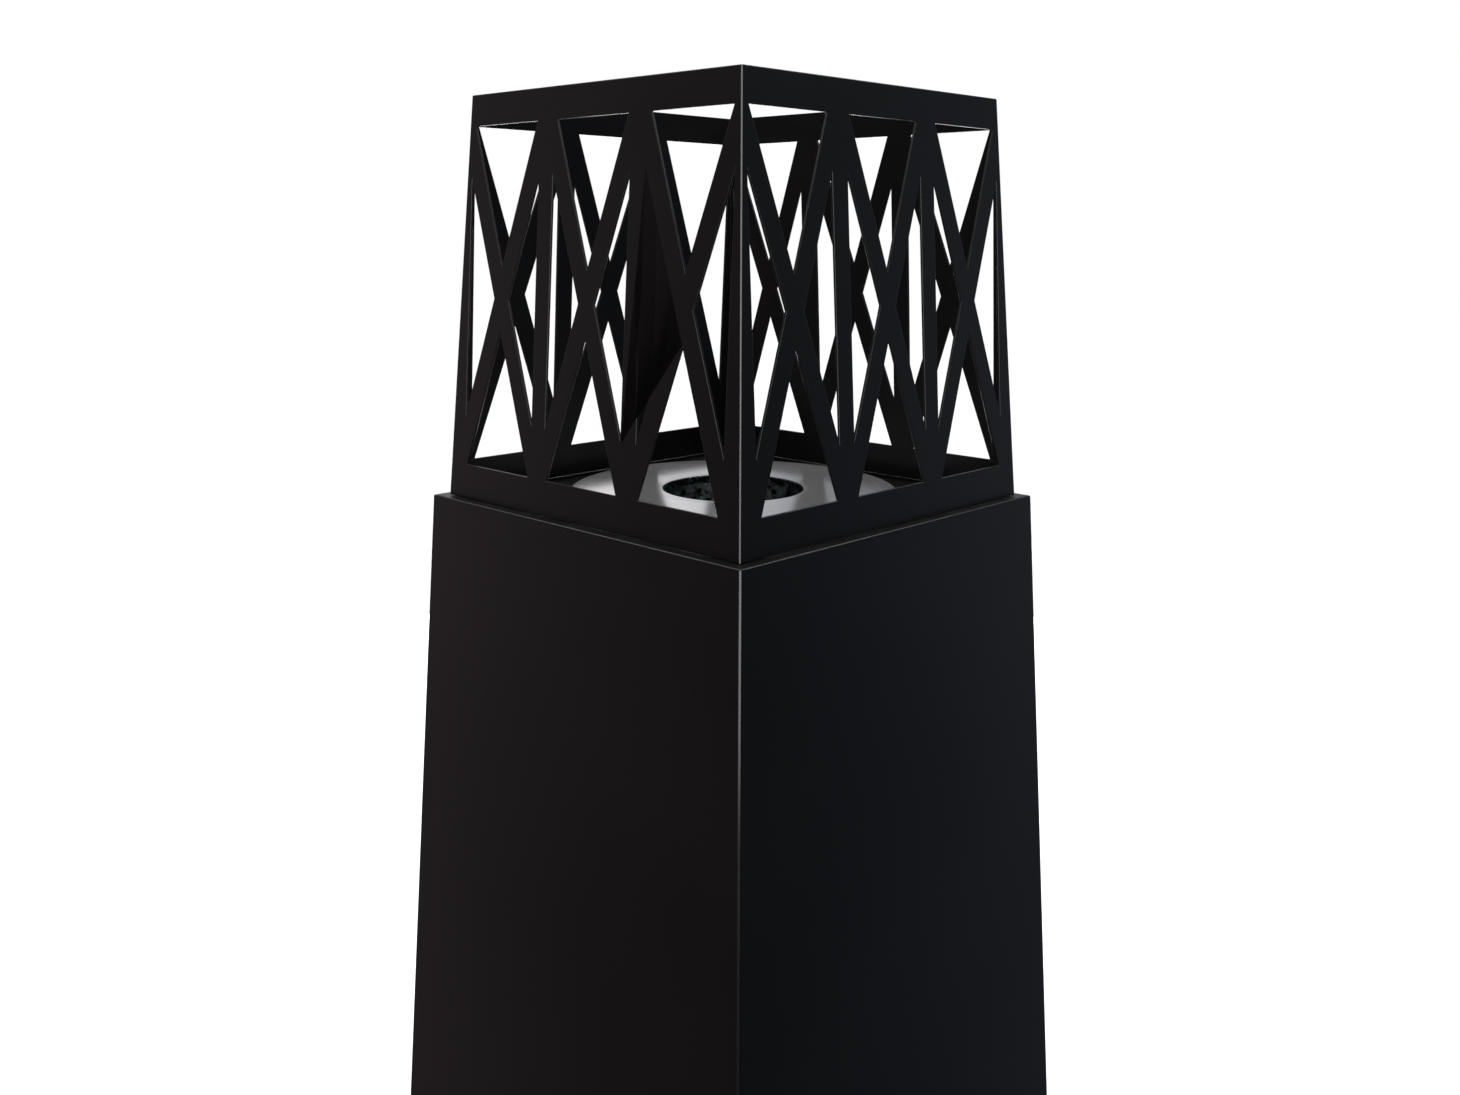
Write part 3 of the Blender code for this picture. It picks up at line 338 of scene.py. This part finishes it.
def turned(outline, steps, closed=True):
    bm = bmesh.new()
    outline = braced(outline, closed)
    points = [bm.verts.new((radius, 0, z)) for radius, z in outline]
    pairs = list(zip(points, points[1:])) + ([(points[-1], points[0])] if closed else [])
    edges = [bm.edges.new(pair) for pair in pairs]
    bmesh.ops.spin(bm, geom=points + edges, cent=(0, 0, 0), axis=(0, 0, 1), angle=2 * math.pi, steps=steps,
                   use_merge=True)
    bmesh.ops.remove_doubles(bm, verts=bm.verts, dist=1e-6)
    return bm


def addRod(bm, radius, low, high, steps, matrix=None):
    place = Matrix.Translation((0, 0, (low + high) / 2))
    bmesh.ops.create_cone(bm, cap_ends=True, segments=steps, radius1=radius, radius2=radius, depth=high - low,
                          matrix=place if matrix is None else matrix @ place)


def carve(mesh, cutter):
    # cuts a bmesh out of a mesh and gives back a plain mesh
    body = bpy.data.objects.new("body", mesh)
    tool = bpy.data.objects.new("tool", meshFrom("tool", cutter))
    for obj in (body, tool):
        scene.collection.objects.link(obj)
    cut = body.modifiers.new("cut", "BOOLEAN")
    cut.object, cut.solver = tool, "EXACT"
    made = bpy.data.meshes.new_from_object(body.evaluated_get(bpy.context.evaluated_depsgraph_get()))
    for obj in (body, tool):
        bpy.data.objects.remove(obj)
    made.shade_smooth()
    made.set_sharp_from_angle(angle=math.radians(sharpFrom))
    return made


def middleOf(node):
    low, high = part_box(node)
    return (low + high) / 2


# the column's and the lantern's tapered faces: half the side at the foot, and how fast it shrinks
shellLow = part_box("front_shell")[0]
columnSkin = {"foot": -shellLow.y, "footZ": shellLow.z, "slope": 0.0615}
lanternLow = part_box("lantern_front_panel")[0]
lanternSkin = {"foot": -lanternLow.y, "footZ": lanternLow.z, "slope": 0.0711}


def halfAt(skin, z):
    return skin["foot"] - skin["slope"] * (z - skin["footZ"])


def onFace(face, u, z, skin=columnSkin):
    # a frame on the skin: X along the face, Y up the slope, Z straight out
    lean = math.atan(skin["slope"])
    return (Matrix.Rotation(face * math.pi / 2, 4, "Z") @ Matrix.Translation((u, -halfAt(skin, z), z))
            @ Matrix.Rotation(math.pi / 2 - lean, 4, "X"))


# each kept sheet's finish, the round on its edges in metres, and the round's steps
sheetPieces = {
    "lantern_front_panel": (coat, 0.00045, 2),
    "lantern_rear_panel": (coat, 0.00045, 2),
    "front_shell": (coat, 0.0005, 2),
    "rear_shell": (coat, 0.0005, 2),
    "top_plate": (coat, 0.0004, 2),
    "drawer_front": (coat, 0.0006, 3),
    "door_panel": (coat, 0.0006, 3),
    "ash_tray": (zinc, 0.0004, 2),
    "burner_shelf": (zinc, 0.0004, 2),
    "base_plate": (zinc, 0.0005, 2),
    "drawer_runner_left": (zinc, 0.0004, 2),
    "drawer_runner_right": (zinc, 0.0004, 2),
    "corner_angle_left": (zinc, 0.0004, 2),
    "corner_angle_right": (zinc, 0.0004, 2),
    "slide_plate": (zinc, 0.0003, 2),
    "slide_guide_lower": (zinc, 0.0003, 2),
    "slide_guide_upper": (zinc, 0.0003, 2),
    "burner_grate": (burnt, 0.0004, 2),
    "latch_cam": (fittings, 0.0004, 2),
    "latch_strike": (fittings, 0.0005, 2),
    "hinge_frame_leaf_lower": (fittings, 0.0003, 2),
    "hinge_frame_leaf_upper": (fittings, 0.0003, 2),
    "hinge_door_leaf_lower": (fittings, 0.0003, 2),
    "hinge_door_leaf_upper": (fittings, 0.0003, 2),
}
corners = ("left", "front", "right", "back")
for corner in corners:
    sheetPieces[f"locating_lug_{corner}"] = (coat, 0.0004, 2)
    sheetPieces[f"foot_bolt_{corner}"] = (zinc, 0.0005, 2)
for level in ("bottom", "top"):
    for side in ("left", "right"):
        sheetPieces[f"lantern_bracket_{level}_{side}"] = (coat, 0.0004, 2)
for node, (finish, width, segments) in sheetPieces.items():
    softEdges(node, finish, width, segments)
print("sheet pieces made:", len(sheetPieces))


def makeBurner():
    disc = {"edge": 0.0030, "sheet": 0.0015, "hole": 0.056, "lip": 0.006, "lipRound": 0.0012, "steps": 192}
    low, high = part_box("burner_disc")
    top, bottom, outer = high.z, low.z, high.x
    r, s, hole, small = disc["edge"], disc["sheet"], disc["hole"], disc["lipRound"]
    outline = [
        (outer, bottom), *arc((outer - r, top - r), r, 0, 90, 8),
        *arc((hole + small, top - small), small, 90, 180, 6),
        (hole, top - disc["lip"]), (hole + s, top - disc["lip"]), (hole + s, top - s),
        *arc((outer - r, top - r), r - s, 90, 0, 4), (outer - s, bottom),
    ]
    addPiece("burner_disc_spun", meshFrom("disc", turned(outline, disc["steps"])), discSteel, "burner",
             ["burner_disc"])

    tube = {"sheet": 0.0015, "holes": 22, "holeRadius": 0.0026, "rows": (0.013, 0.022, 0.222), "steps": 96}
    low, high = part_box("fire_tube")
    outer, inner = high.x, high.x - tube["sheet"]
    outline = [(outer, low.z), (outer, high.z), (inner, high.z), (inner, low.z)]
    holes = bmesh.new()
    for row, below in enumerate(tube["rows"]):
        ringOfHoles(holes, tube["holeRadius"], tube["holes"], top - below, inner, outer, row % 2)
    mesh = carve(meshFrom("tube", turned(outline, tube["steps"])), holes)
    addPiece("fire_tube_drilled", mesh, burnt, "burner", ["fire_tube"])

    jacket = {"sheet": 0.0015, "mouth": 0.045, "bend": 0.003, "holes": 14, "holeRadius": 0.006,
              "holeHeight": 0.026, "steps": 96}
    low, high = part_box("air_jacket")
    outer, inner, floor = high.x, high.x - jacket["sheet"], low.z + jacket["sheet"]
    bend = jacket["bend"]
    outline = [
        (jacket["mouth"], low.z), *arc((outer - bend, low.z + bend), bend, -90, 0, 5), (outer, high.z),
        (inner, high.z), (inner, low.z + bend), (inner - bend / 2, floor), (jacket["mouth"], floor),
    ]
    holes = bmesh.new()
    ringOfHoles(holes, jacket["holeRadius"], jacket["holes"], low.z + jacket["holeHeight"], inner, outer, 0)
    mesh = carve(meshFrom("jacket", turned(outline, jacket["steps"])), holes)
    addPiece("air_jacket_drilled", mesh, burnt, "burner", ["air_jacket"])

    shield = {"sheet": 0.0015, "flange": 0.0135, "steps": 96}
    low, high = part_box("heat_shield")
    wall = high.x - shield["flange"]
    outline = [
        (wall, low.z), (wall, high.z - shield["sheet"]), (high.x, high.z - shield["sheet"]), (high.x, high.z),
        (wall - shield["sheet"], high.z), (wall - shield["sheet"], low.z),
    ]
    addPiece("heat_shield_spun", meshFrom("shield", turned(outline, shield["steps"])), zinc, "column",
             ["heat_shield"])


def ringOfHoles(bm, radius, count, z, inner, outer, stagger):
    sides = 16
    for i in range(count):
        turn = Matrix.Rotation(2 * math.pi * (i + stagger / 2) / count, 4, "Z")
        across = turn @ Matrix.Translation((0, 0, z)) @ Matrix.Rotation(math.pi / 2, 4, "Y")
        addRod(bm, radius, inner - radius, outer + radius, sides, across)


makeBurner()
print("burner made")


def buttonScrew(name, matrix, finish, body, sizes, replaced=()):
    # a domed head with a six-sided socket, and its shank through the sheet
    radius, height, shank, reach = sizes["head"], sizes["height"], sizes["shank"], sizes["reach"]
    socketShare, socketFloor = 0.42, 0.35  # of the head's radius and height
    dome = [(radius * x, clearance + height * y) for x, y in arc((0, 0), 1.0, 90, 0, 8)[1:]]
    outline = [(0, clearance + height), *dome, (shank, clearance), (shank, -reach), (0, -reach)]
    mesh = meshFrom(name, turned(outline, sizes["steps"], closed=False))
    socket = bmesh.new()
    addRod(socket, radius * socketShare, clearance + height * socketFloor, clearance + 2 * height, 6)
    mesh = carve(mesh, socket)
    mesh.transform(matrix)
    addPiece(name, mesh, finish, body, replaced)


def makeScrews():
    small = {"head": 0.0035, "height": 0.002, "shank": 0.0015, "reach": 0.006, "steps": 32}
    for level in ("bottom", "top"):
        for side, face in (("left", leftFace), ("right", rearFace)):
            node = f"lantern_screw_{level}_{side}"
            middle = middleOf(node)
            u = -middle.y if face == leftFace else -middle.x
            place = onFace(face, u, middle.z, lanternSkin)
            buttonScrew(f"{node}_socket_head", place, fittings, "lantern", small, [node])

    # the rear shell is screwed to the two corner angles
    shellScrew = {"head": 0.0042, "height": 0.0018, "shank": 0.0020, "reach": 0.004, "inset": 0.0125,
                  "heights": (0.065, 0.265, 0.465, 0.665, 0.865), "steps": 32}
    for i, z in enumerate(shellScrew["heights"]):
        u = halfAt(columnSkin, z) - shellScrew["inset"]
        for side, face, way in (("left", leftFace, 1), ("right", rearFace, -1)):
            place = onFace(face, way * u, z)
            buttonScrew(f"shell_screw_{side}_{i + 1}", place, fittings, "column", shellScrew)


def makeHinges():
    pin = {"radius": 0.0025, "headRadius": 0.0040, "head": 0.002, "standoff": 0.0055, "length": 0.050,
           "steps": 32}
    for level in ("lower", "upper"):
        node = f"hinge_pin_{level}"
        middle = middleOf(node)
        z = middle.z - pin["standoff"] * math.sin(math.atan(columnSkin["slope"]))
        place = onFace(rearFace, -middle.x, z)
        along = place @ Matrix.Translation((0, 0, pin["standoff"])) @ Matrix.Rotation(-math.pi / 2, 4, "X")
        half = pin["length"] / 2
        top = half + clearance
        dome = [(pin["headRadius"] * x, top + pin["head"] * (0.35 + 0.65 * y))
                for x, y in arc((0, 0), 1.0, 90, 0, 6)[1:]]
        outline = [
            (0, top + pin["head"]), *dome, (pin["headRadius"], top), (pin["radius"], top),
            (pin["radius"], -half - pin["head"] * 0.7), (pin["radius"] * 0.7, -half - pin["head"]),
            (0, -half - pin["head"]),
        ]
        mesh = meshFrom(node, turned(outline, pin["steps"], closed=False), matrix=along)
        addPiece(f"{node}_domed", mesh, fittings, "column", [node])
        for leaf, way, body in (("frame", -1, "column"), ("door", 1, "door")):
            for end, up in (("low", -1), ("high", 1)):
                fixingScrew(f"hinge_{leaf}_{level}_screw_{end}", place, way, up, body)


def fixingScrew(name, place, way, up, body):
    # a low domed head with a straight slot, turned a little differently on each side
    fixing = {"radius": 0.0026, "height": 0.0006, "across": 0.0150, "along": 0.0155, "slot": 0.0007,
              "leaf": 0.0015, "turn": 0.6, "steps": 24}
    radius, height = fixing["radius"], fixing["height"]
    dome = [(radius * x, height * y) for x, y in arc((0, 0), 1.0, 90, 0, 5)[1:]]
    head = [(0, height), *dome, (radius, clearance), (0, clearance)]
    slot = bmesh.new()
    bmesh.ops.create_cube(slot, size=1.0, matrix=Matrix.Translation((0, 0, height * 1.1))
                          @ Matrix.Diagonal((radius * 4, fixing["slot"], height, 1)))
    mesh = carve(meshFrom("fixing", turned(head, fixing["steps"], closed=False)), slot)
    spot = Matrix.Translation((way * fixing["across"], up * fixing["along"], fixing["leaf"]))
    turn = Matrix.Rotation(fixing["turn"] + way * 0.5 + up * 0.9, 4, "Z")
    mesh.transform(place @ spot @ turn)
    addPiece(name, mesh, fittings, body)


makeScrews()
makeHinges()
print("screws and hinges made")


def flutedKnob(name, matrix, finish, body, sizes, replaced):
    # a grip with flutes round its side, a chamfered face with a shallow dish, and its stem
    steps, lobes = sizes["lobes"] * 8, sizes["lobes"]
    radius, height = sizes["radius"], sizes["height"]
    chamfer, dish, base = sizes["chamfer"], sizes["dish"], sizes["base"]
    rows = [  # radius, height, and how deep the flutes are there
        (0.0, height - dish, 0), (radius * 0.55, height - dish, 0), (radius * 0.68, height, 0),
        (radius - chamfer, height, 0.3), (radius - chamfer * 0.3, height - chamfer * 0.35, 1),
        (radius, height - chamfer, 1), (radius, base + chamfer * 0.4, 1), (radius - chamfer * 0.5, base, 0.5),
        (sizes["neck"], base * 0.8, 0), (sizes["neck"], clearance, 0), (sizes["stem"], clearance, 0),
        (sizes["stem"], -sizes["reach"], 0), (0.0, -sizes["reach"], 0),
    ]
    bm = bmesh.new()
    rings = []
    for r, z, flute in rows:
        if r == 0.0:
            rings.append([bm.verts.new((0, 0, z))])
            continue
        ring = []
        for i in range(steps):
            a = 2 * math.pi * i / steps
            dip = sizes["flute"] * flute * (0.5 - 0.5 * math.cos(lobes * a)) ** 2
            ring.append(bm.verts.new(((r - dip) * math.cos(a), (r - dip) * math.sin(a), z)))
        rings.append(ring)
    for low, high in zip(rings, rings[1:]):
        for i in range(steps):
            j = (i + 1) % steps
            if len(low) == 1:
                bm.faces.new((low[0], high[i], high[j]))
            elif len(high) == 1:
                bm.faces.new((low[j], low[i], high[0]))
            else:
                bm.faces.new((low[j], low[i], high[i], high[j]))
    addPiece(name, meshFrom(name, bm, gripSharpFrom, matrix), finish, body, replaced)


def makeKnobs():
    latch = {"radius": 0.015, "height": 0.018, "base": 0.005, "chamfer": 0.003, "dish": 0.0012,
             "neck": 0.008, "stem": 0.004, "reach": 0.0135, "lobes": 12, "flute": 0.0013}
    spindle = next(joint for joint in frame["joints"] if joint["name"] == "latch_turn")
    x, _, z = spindle["pos_m"]
    place = onFace(rearFace, -x, z)
    flutedKnob("latch_knob_fluted", place, coat, "latch", latch, ["latch_knob"])

    # a raised pointer on the knob's face shows which way the cam lies
    pointer = {"length": 0.0085, "width": 0.0018, "height": 0.0011, "round": 0.0004}
    spot = (0, -pointer["length"] / 2, latch["height"] - latch["dish"] + pointer["height"] / 2)
    size = (pointer["width"], pointer["length"], pointer["height"], 1)
    bm = bmesh.new()
    bmesh.ops.create_cube(bm, size=1.0, matrix=Matrix.Translation(spot) @ Matrix.Diagonal(size))
    bmesh.ops.bevel(bm, geom=bm.edges[:], offset=pointer["round"], segments=2, affect="EDGES", profile=0.5)
    addPiece("latch_knob_pointer", meshFrom("pointer", bm, gripSharpFrom, place), fittings, "latch")

    slider = {"radius": 0.008, "height": 0.012, "base": 0.0012, "chamfer": 0.002, "dish": 0.0006,
              "neck": 0.0055, "stem": 0.0025, "reach": 0.002, "lobes": 12, "flute": 0.0007}
    middle = middleOf("slide_knob")
    out = (slider["height"] - slider["reach"]) / 2 * math.sin(math.atan(columnSkin["slope"]))
    place = onFace(rearFace, -middle.x, middle.z - out)
    flutedKnob("slide_knob_fluted", place, coat, "air_slide", slider, ["slide_knob"])


def makePull():
    pull = {"radius": 0.004, "reach": 0.0263, "length": 0.090, "bend": 0.012, "collar": 0.0075,
            "collarHeight": 0.003, "collarRoom": 0.0001, "collarSteps": 40, "sides": 24}
    low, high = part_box("drawer_front")
    middle = (low.z + high.z) / 2
    half, bend, reach = pull["length"] / 2, pull["bend"], pull["reach"]
    path = []
    for way in (-1, 1):
        turn = [(way * (half - bend + x), reach - bend + y) for x, y in arc((0, 0), bend, 0, 90, 12)]
        leg = [(way * half, clearance), (way * half, (reach - bend) * 0.5), *turn]
        path += leg if way < 0 else leg[::-1]
    bm = bmesh.new()
    rings = []
    for i, (x, w) in enumerate(path):
        before, after = path[max(i - 1, 0)], path[min(i + 1, len(path) - 1)]
        ahead = Vector((after[0] - before[0], 0, after[1] - before[1])).normalized()
        across = Vector((0, 1, 0))
        third = ahead.cross(across)
        ring = []
        for k in range(pull["sides"]):
            a = 2 * math.pi * k / pull["sides"]
            out = pull["radius"] * (math.cos(a) * across + math.sin(a) * third)
            ring.append(bm.verts.new(Vector((x, 0, w)) + out))
        rings.append(ring)
    for first, second in zip(rings, rings[1:]):
        for k in range(pull["sides"]):
            m = (k + 1) % pull["sides"]
            bm.faces.new((first[k], first[m], second[m], second[k]))
    bm.faces.new(rings[0][::-1])
    bm.faces.new(rings[-1])
    place = onFace(rearFace, 0, middle)
    mesh = meshFrom("pull", bm, gripSharpFrom, place)
    addPiece("drawer_pull_bent", mesh, fittings, "drawer", ["drawer_pull"])
    for side, way in (("left", -1), ("right", 1)):
        r, h, inner = pull["collar"], pull["collarHeight"], pull["radius"] + pull["collarRoom"]
        outline = [(inner, clearance), (r, clearance), (r, h * 0.4),
                   *arc((r - h * 0.5, h * 0.5), h * 0.5, 0, 90, 5), (inner, h)]
        spot = place @ Matrix.Translation((way * half, 0, 0))
        mesh = meshFrom("collar", turned(outline, pull["collarSteps"]), matrix=spot)
        addPiece(f"drawer_pull_collar_{side}", mesh, fittings, "drawer")


def makeFeet():
    foot = {"radius": 0.021, "taper": 0.003, "round": 0.002, "grooves": 3, "grooveDepth": 0.0006,
            "grooveTop": 0.0006, "grooveFloor": 0.0002, "bolt": 0.0043, "boltLow": 0.0037,
            "rings": (0.28, 0.42, 0.56), "hollow": 0.0008, "chamfer": 0.0006, "steps": 96}
    r, hollow, chamfer = foot["radius"], foot["hollow"], foot["chamfer"]
    for corner in corners:
        low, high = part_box(f"foot_{corner}")
        middle, top = (low + high) / 2, high.z
        usable = top - 2 * foot["round"]
        side = []
        for i in range(foot["grooves"]):
            z = foot["round"] + usable * (i + 0.5) / foot["grooves"]
            edge = r - foot["taper"] * z / top
            floor = edge - foot["grooveDepth"]
            side += [(edge, z - foot["grooveTop"]), (floor, z - foot["grooveFloor"]),
                     (floor, z + foot["grooveFloor"]), (edge, z + foot["grooveTop"])]
        tread = []
        for share in foot["rings"]:
            tread += [(r * share, hollow), (r * (share + 0.02), 0.0), (r * (share + 0.08), 0.0),
                      (r * (share + 0.10), hollow)]
        rim = foot["rings"][-1] + 0.14
        outline = [
            (0, hollow), *tread, (r * rim, hollow), (r * (rim + 0.02), 0.0),
            *arc((r - foot["round"], foot["round"]), foot["round"], -90, 0, 5), *side,
            (r - foot["taper"], top - chamfer), (r - foot["taper"] - chamfer, top),
            (foot["bolt"], top), (foot["bolt"], foot["boltLow"]), (0, foot["boltLow"]),
        ]
        spot = Matrix.Translation((middle.x, middle.y, 0))
        mesh = meshFrom("foot", turned(outline, foot["steps"], closed=False), matrix=spot)
        addPiece(f"foot_{corner}_moulded", mesh, rubber, "column", [f"foot_{corner}"])


makeKnobs()
makePull()
makeFeet()
print("knobs, pull and feet made")


def makeFloor():
    stage = {"size": 30.0, "pale": (0.90, 0.90, 0.90), "roughness": 0.9}
    bm = bmesh.new()
    bmesh.ops.create_grid(bm, x_segments=1, y_segments=1, size=stage["size"] / 2)
    mesh = bpy.data.meshes.new("floor")
    bm.to_mesh(mesh)
    bm.free()
    floor = bpy.data.objects.new("floor", mesh)
    scene.collection.objects.link(floor)
    paint = bpy.data.materials.new("pale floor")
    paint.use_nodes = True
    shader = paint.node_tree.nodes["Principled BSDF"]
    shader.inputs["Base Color"].default_value = (*stage["pale"], 1.0)
    shader.inputs["Roughness"].default_value = stage["roughness"]
    shader.inputs["Specular IOR Level"].default_value = 0.0
    mesh.materials.append(paint)
    # the black sheet mirrors the room, not the floor, and low lights reach it
    floor.visible_glossy = floor.visible_diffuse = floor.visible_shadow = False
    return floor


def makeRoom(ahead):
    # the view behind is plain white; the heater is lit by a dimmer room, warm on its left and cool on its right
    room = {"sides": 0.075, "behind": 0.48, "high": 0.55, "before": 0.30, "above": 0.12, "below": 0.052,
            "warm": (1.0, 0.80, 0.86), "cool": (0.46, 0.54, 0.68), "seen": (1.0, 1.0, 1.0),
            "glow": 2.1, "glowMiddle": 0.40, "glowWarm": (1.0, 0.96, 0.95), "glowCool": (0.86, 0.91, 1.0)}
    world = bpy.data.worlds.new("studio")
    scene.world = world
    world.use_nodes = True
    tree = NodeTree(world.node_tree)
    toward = tree.node("ShaderNodeTexCoord")
    dot = {"operation": "DOT_PRODUCT"}
    along = tree.node("ShaderNodeVectorMath", dot, {0: toward, 1: ahead}, output=1)
    right = tree.node("ShaderNodeVectorMath", dot, {0: toward, 1: rightOf(ahead)}, output=1)
    up = tree.parts(toward)[2]
    # the wall behind the heater is brighter on its left
    left = tree.spread(right, 0.12, -0.12)
    near = tree.spread(along, 0.90, 0.96)
    patch = 1.0 + near * (left - room["glowMiddle"]) * room["glow"]
    light = room["sides"] + tree.spread(along, 0.0, 0.5) ** 1.15 * patch * (room["behind"] - room["sides"])
    # higher up it is dimmer, apart from straight behind
    light = light * (1.0 - tree.spread(up, 0.08, 0.25) * (1.0 - near) * (1 - room["high"]))
    # then the wall before the heater, the ceiling and the ground
    before = tree.spread(along, -0.35, -1.0) * tree.spread(up, -0.4, 0.05)
    light = light + before * (room["before"] - room["sides"])
    light = light + tree.spread(up, 0.25, 0.9) * (room["above"] - room["sides"])
    light = light * (1.0 - tree.spread(up, 0.0, -0.6) * (1 - room["below"] / room["sides"]))
    tint = tree.blend(tree.spread(right, -0.6, 0.6), room["warm"], room["cool"])
    glow = tree.blend(left, room["glowCool"], room["glowWarm"])
    tint = tree.blend(tree.spread(along, 0.4, 0.95), tint, glow)
    lit = tree.node("ShaderNodeVectorMath", {"operation": "SCALE"}, {0: tint, "Scale": light})
    cameraRay = tree.node("ShaderNodeLightPath")
    background = world.node_tree.nodes["Background"]
    connect(world.node_tree, tree.blend(cameraRay, lit, room["seen"]), background.inputs["Color"])


def rightOf(ahead):
    return Vector((ahead.y, -ahead.x, 0.0))


def areaLight(name, place, aim, size, power, colour=(1, 1, 1)):
    lamp = bpy.data.lights.new(name, "AREA")
    lamp.shape, lamp.size, lamp.size_y, lamp.energy, lamp.color = "RECTANGLE", size[0], size[1], power, colour
    obj = bpy.data.objects.new(name, lamp)
    scene.collection.objects.link(obj)
    obj.location = place
    obj.rotation_mode = "QUATERNION"
    obj.rotation_quaternion = (Vector(aim) - Vector(place)).to_track_quat("-Z", "Y")
    obj.visible_camera = False
    return obj


def allBut(*names):
    return [piece for piece in scene.objects if piece.type == "MESH" and not piece.name.startswith(names)]


def lightOnly(lamp, pieces):
    group = bpy.data.collections.new(f"lit by the {lamp.name}")
    for piece in pieces:
        group.objects.link(piece)
    lamp.light_linking.receiver_collection = group


def floorSun(floor):
    sun = {"strength": 3.6, "spread": 50.0, "tilt": 18.0}
    lamp = bpy.data.lights.new("floor sun", "SUN")
    lamp.energy, lamp.angle = sun["strength"], math.radians(sun["spread"])
    obj = bpy.data.objects.new("floor sun", lamp)
    scene.collection.objects.link(obj)
    obj.rotation_euler = (math.radians(sun["tilt"]), math.radians(sun["tilt"]), 0)
    lightOnly(obj, [floor])


def makeCamera():
    shot = {"place": (0.7079, -0.7359, 1.1040), "ahead": (-0.69500, 0.71901), "down": 13.63, "roll": 0.28,
            "lens": 31.98, "sensor": 36.0}
    camera = bpy.data.objects.new("camera", bpy.data.cameras.new("camera"))
    scene.collection.objects.link(camera)
    camera.data.lens, camera.data.sensor_width = shot["lens"], shot["sensor"]
    camera.data.clip_start, camera.data.clip_end = 0.02, 60.0
    down = math.radians(shot["down"])
    look = Vector((shot["ahead"][0] * math.cos(down), shot["ahead"][1] * math.cos(down), -math.sin(down)))
    camera.location = shot["place"]
    camera.rotation_mode = "QUATERNION"
    camera.rotation_quaternion = look.to_track_quat("-Z", "Y") @ Matrix.Rotation(
        math.radians(shot["roll"]), 4, "Z").to_quaternion()
    scene.camera = camera
    return Vector((*shot["ahead"], 0.0))


def makeLights(ahead, floor):
    # height, distance ahead of the heater, height aimed at, size and watts; the side ones stand in pairs
    front = {"height": 1.45, "ahead": -2.7, "aim": 1.0, "size": (2.0, 2.0), "watts": 55.0}
    rear = {"height": 0.30, "ahead": 2.7, "aim": 0.5, "size": (2.0, 1.5), "watts": 55.0}
    fill = {"height": 0.85, "ahead": 0.6, "aside": 2.6, "aim": 0.6, "size": (1.2, 1.4), "watts": 0.28}
    rim = {"height": 2.3, "ahead": 0.62, "aside": 1.3, "aim": 0.9, "size": (0.5, 0.5), "watts": 5.5}
    rearFill = {"height": 0.45, "ahead": -0.7, "aside": 2.6, "aim": 0.6, "size": (0.9, 1.8), "watts": 5.0}
    overhead = {"height": 3.2, "ahead": 0.0, "aim": 0.0, "size": (1.6, 1.6), "watts": 45.0}
    warm, cool = (1.0, 0.86, 0.86), (0.78, 0.88, 1.0)

    def stand(name, lamp, way=0, colour=(1, 1, 1)):
        place = Vector((0, 0, lamp["height"])) + ahead * lamp["ahead"]
        place += way * rightOf(ahead) * lamp.get("aside", 0.0)
        return areaLight(name, place, (0, 0, lamp["aim"]), lamp["size"], lamp["watts"], colour)

    # the bright key would burn out the level plate and the steel burner
    lightOnly(stand("front key", front), allBut("burner_", "air_jacket", "top_plate", "floor"))
    stand("rear key", rear)
    for side, way, tint in (("left", -1, warm), ("right", 1, cool)):
        stand(f"{side} fill", fill, way, tint)
        stand(f"{side} rim light", rim, way)
        lightOnly(stand(f"{side} rear fill", rearFill, way),
                  allBut("front_shell", "lantern_", "burner_", "top_plate"))
    stand("overhead", overhead)
    floorSun(floor)


scene.view_settings.view_transform = "Standard"
floor = makeFloor()
ahead = makeCamera()
makeRoom(ahead)
makeLights(ahead, floor)
print("floor, lights and camera made")
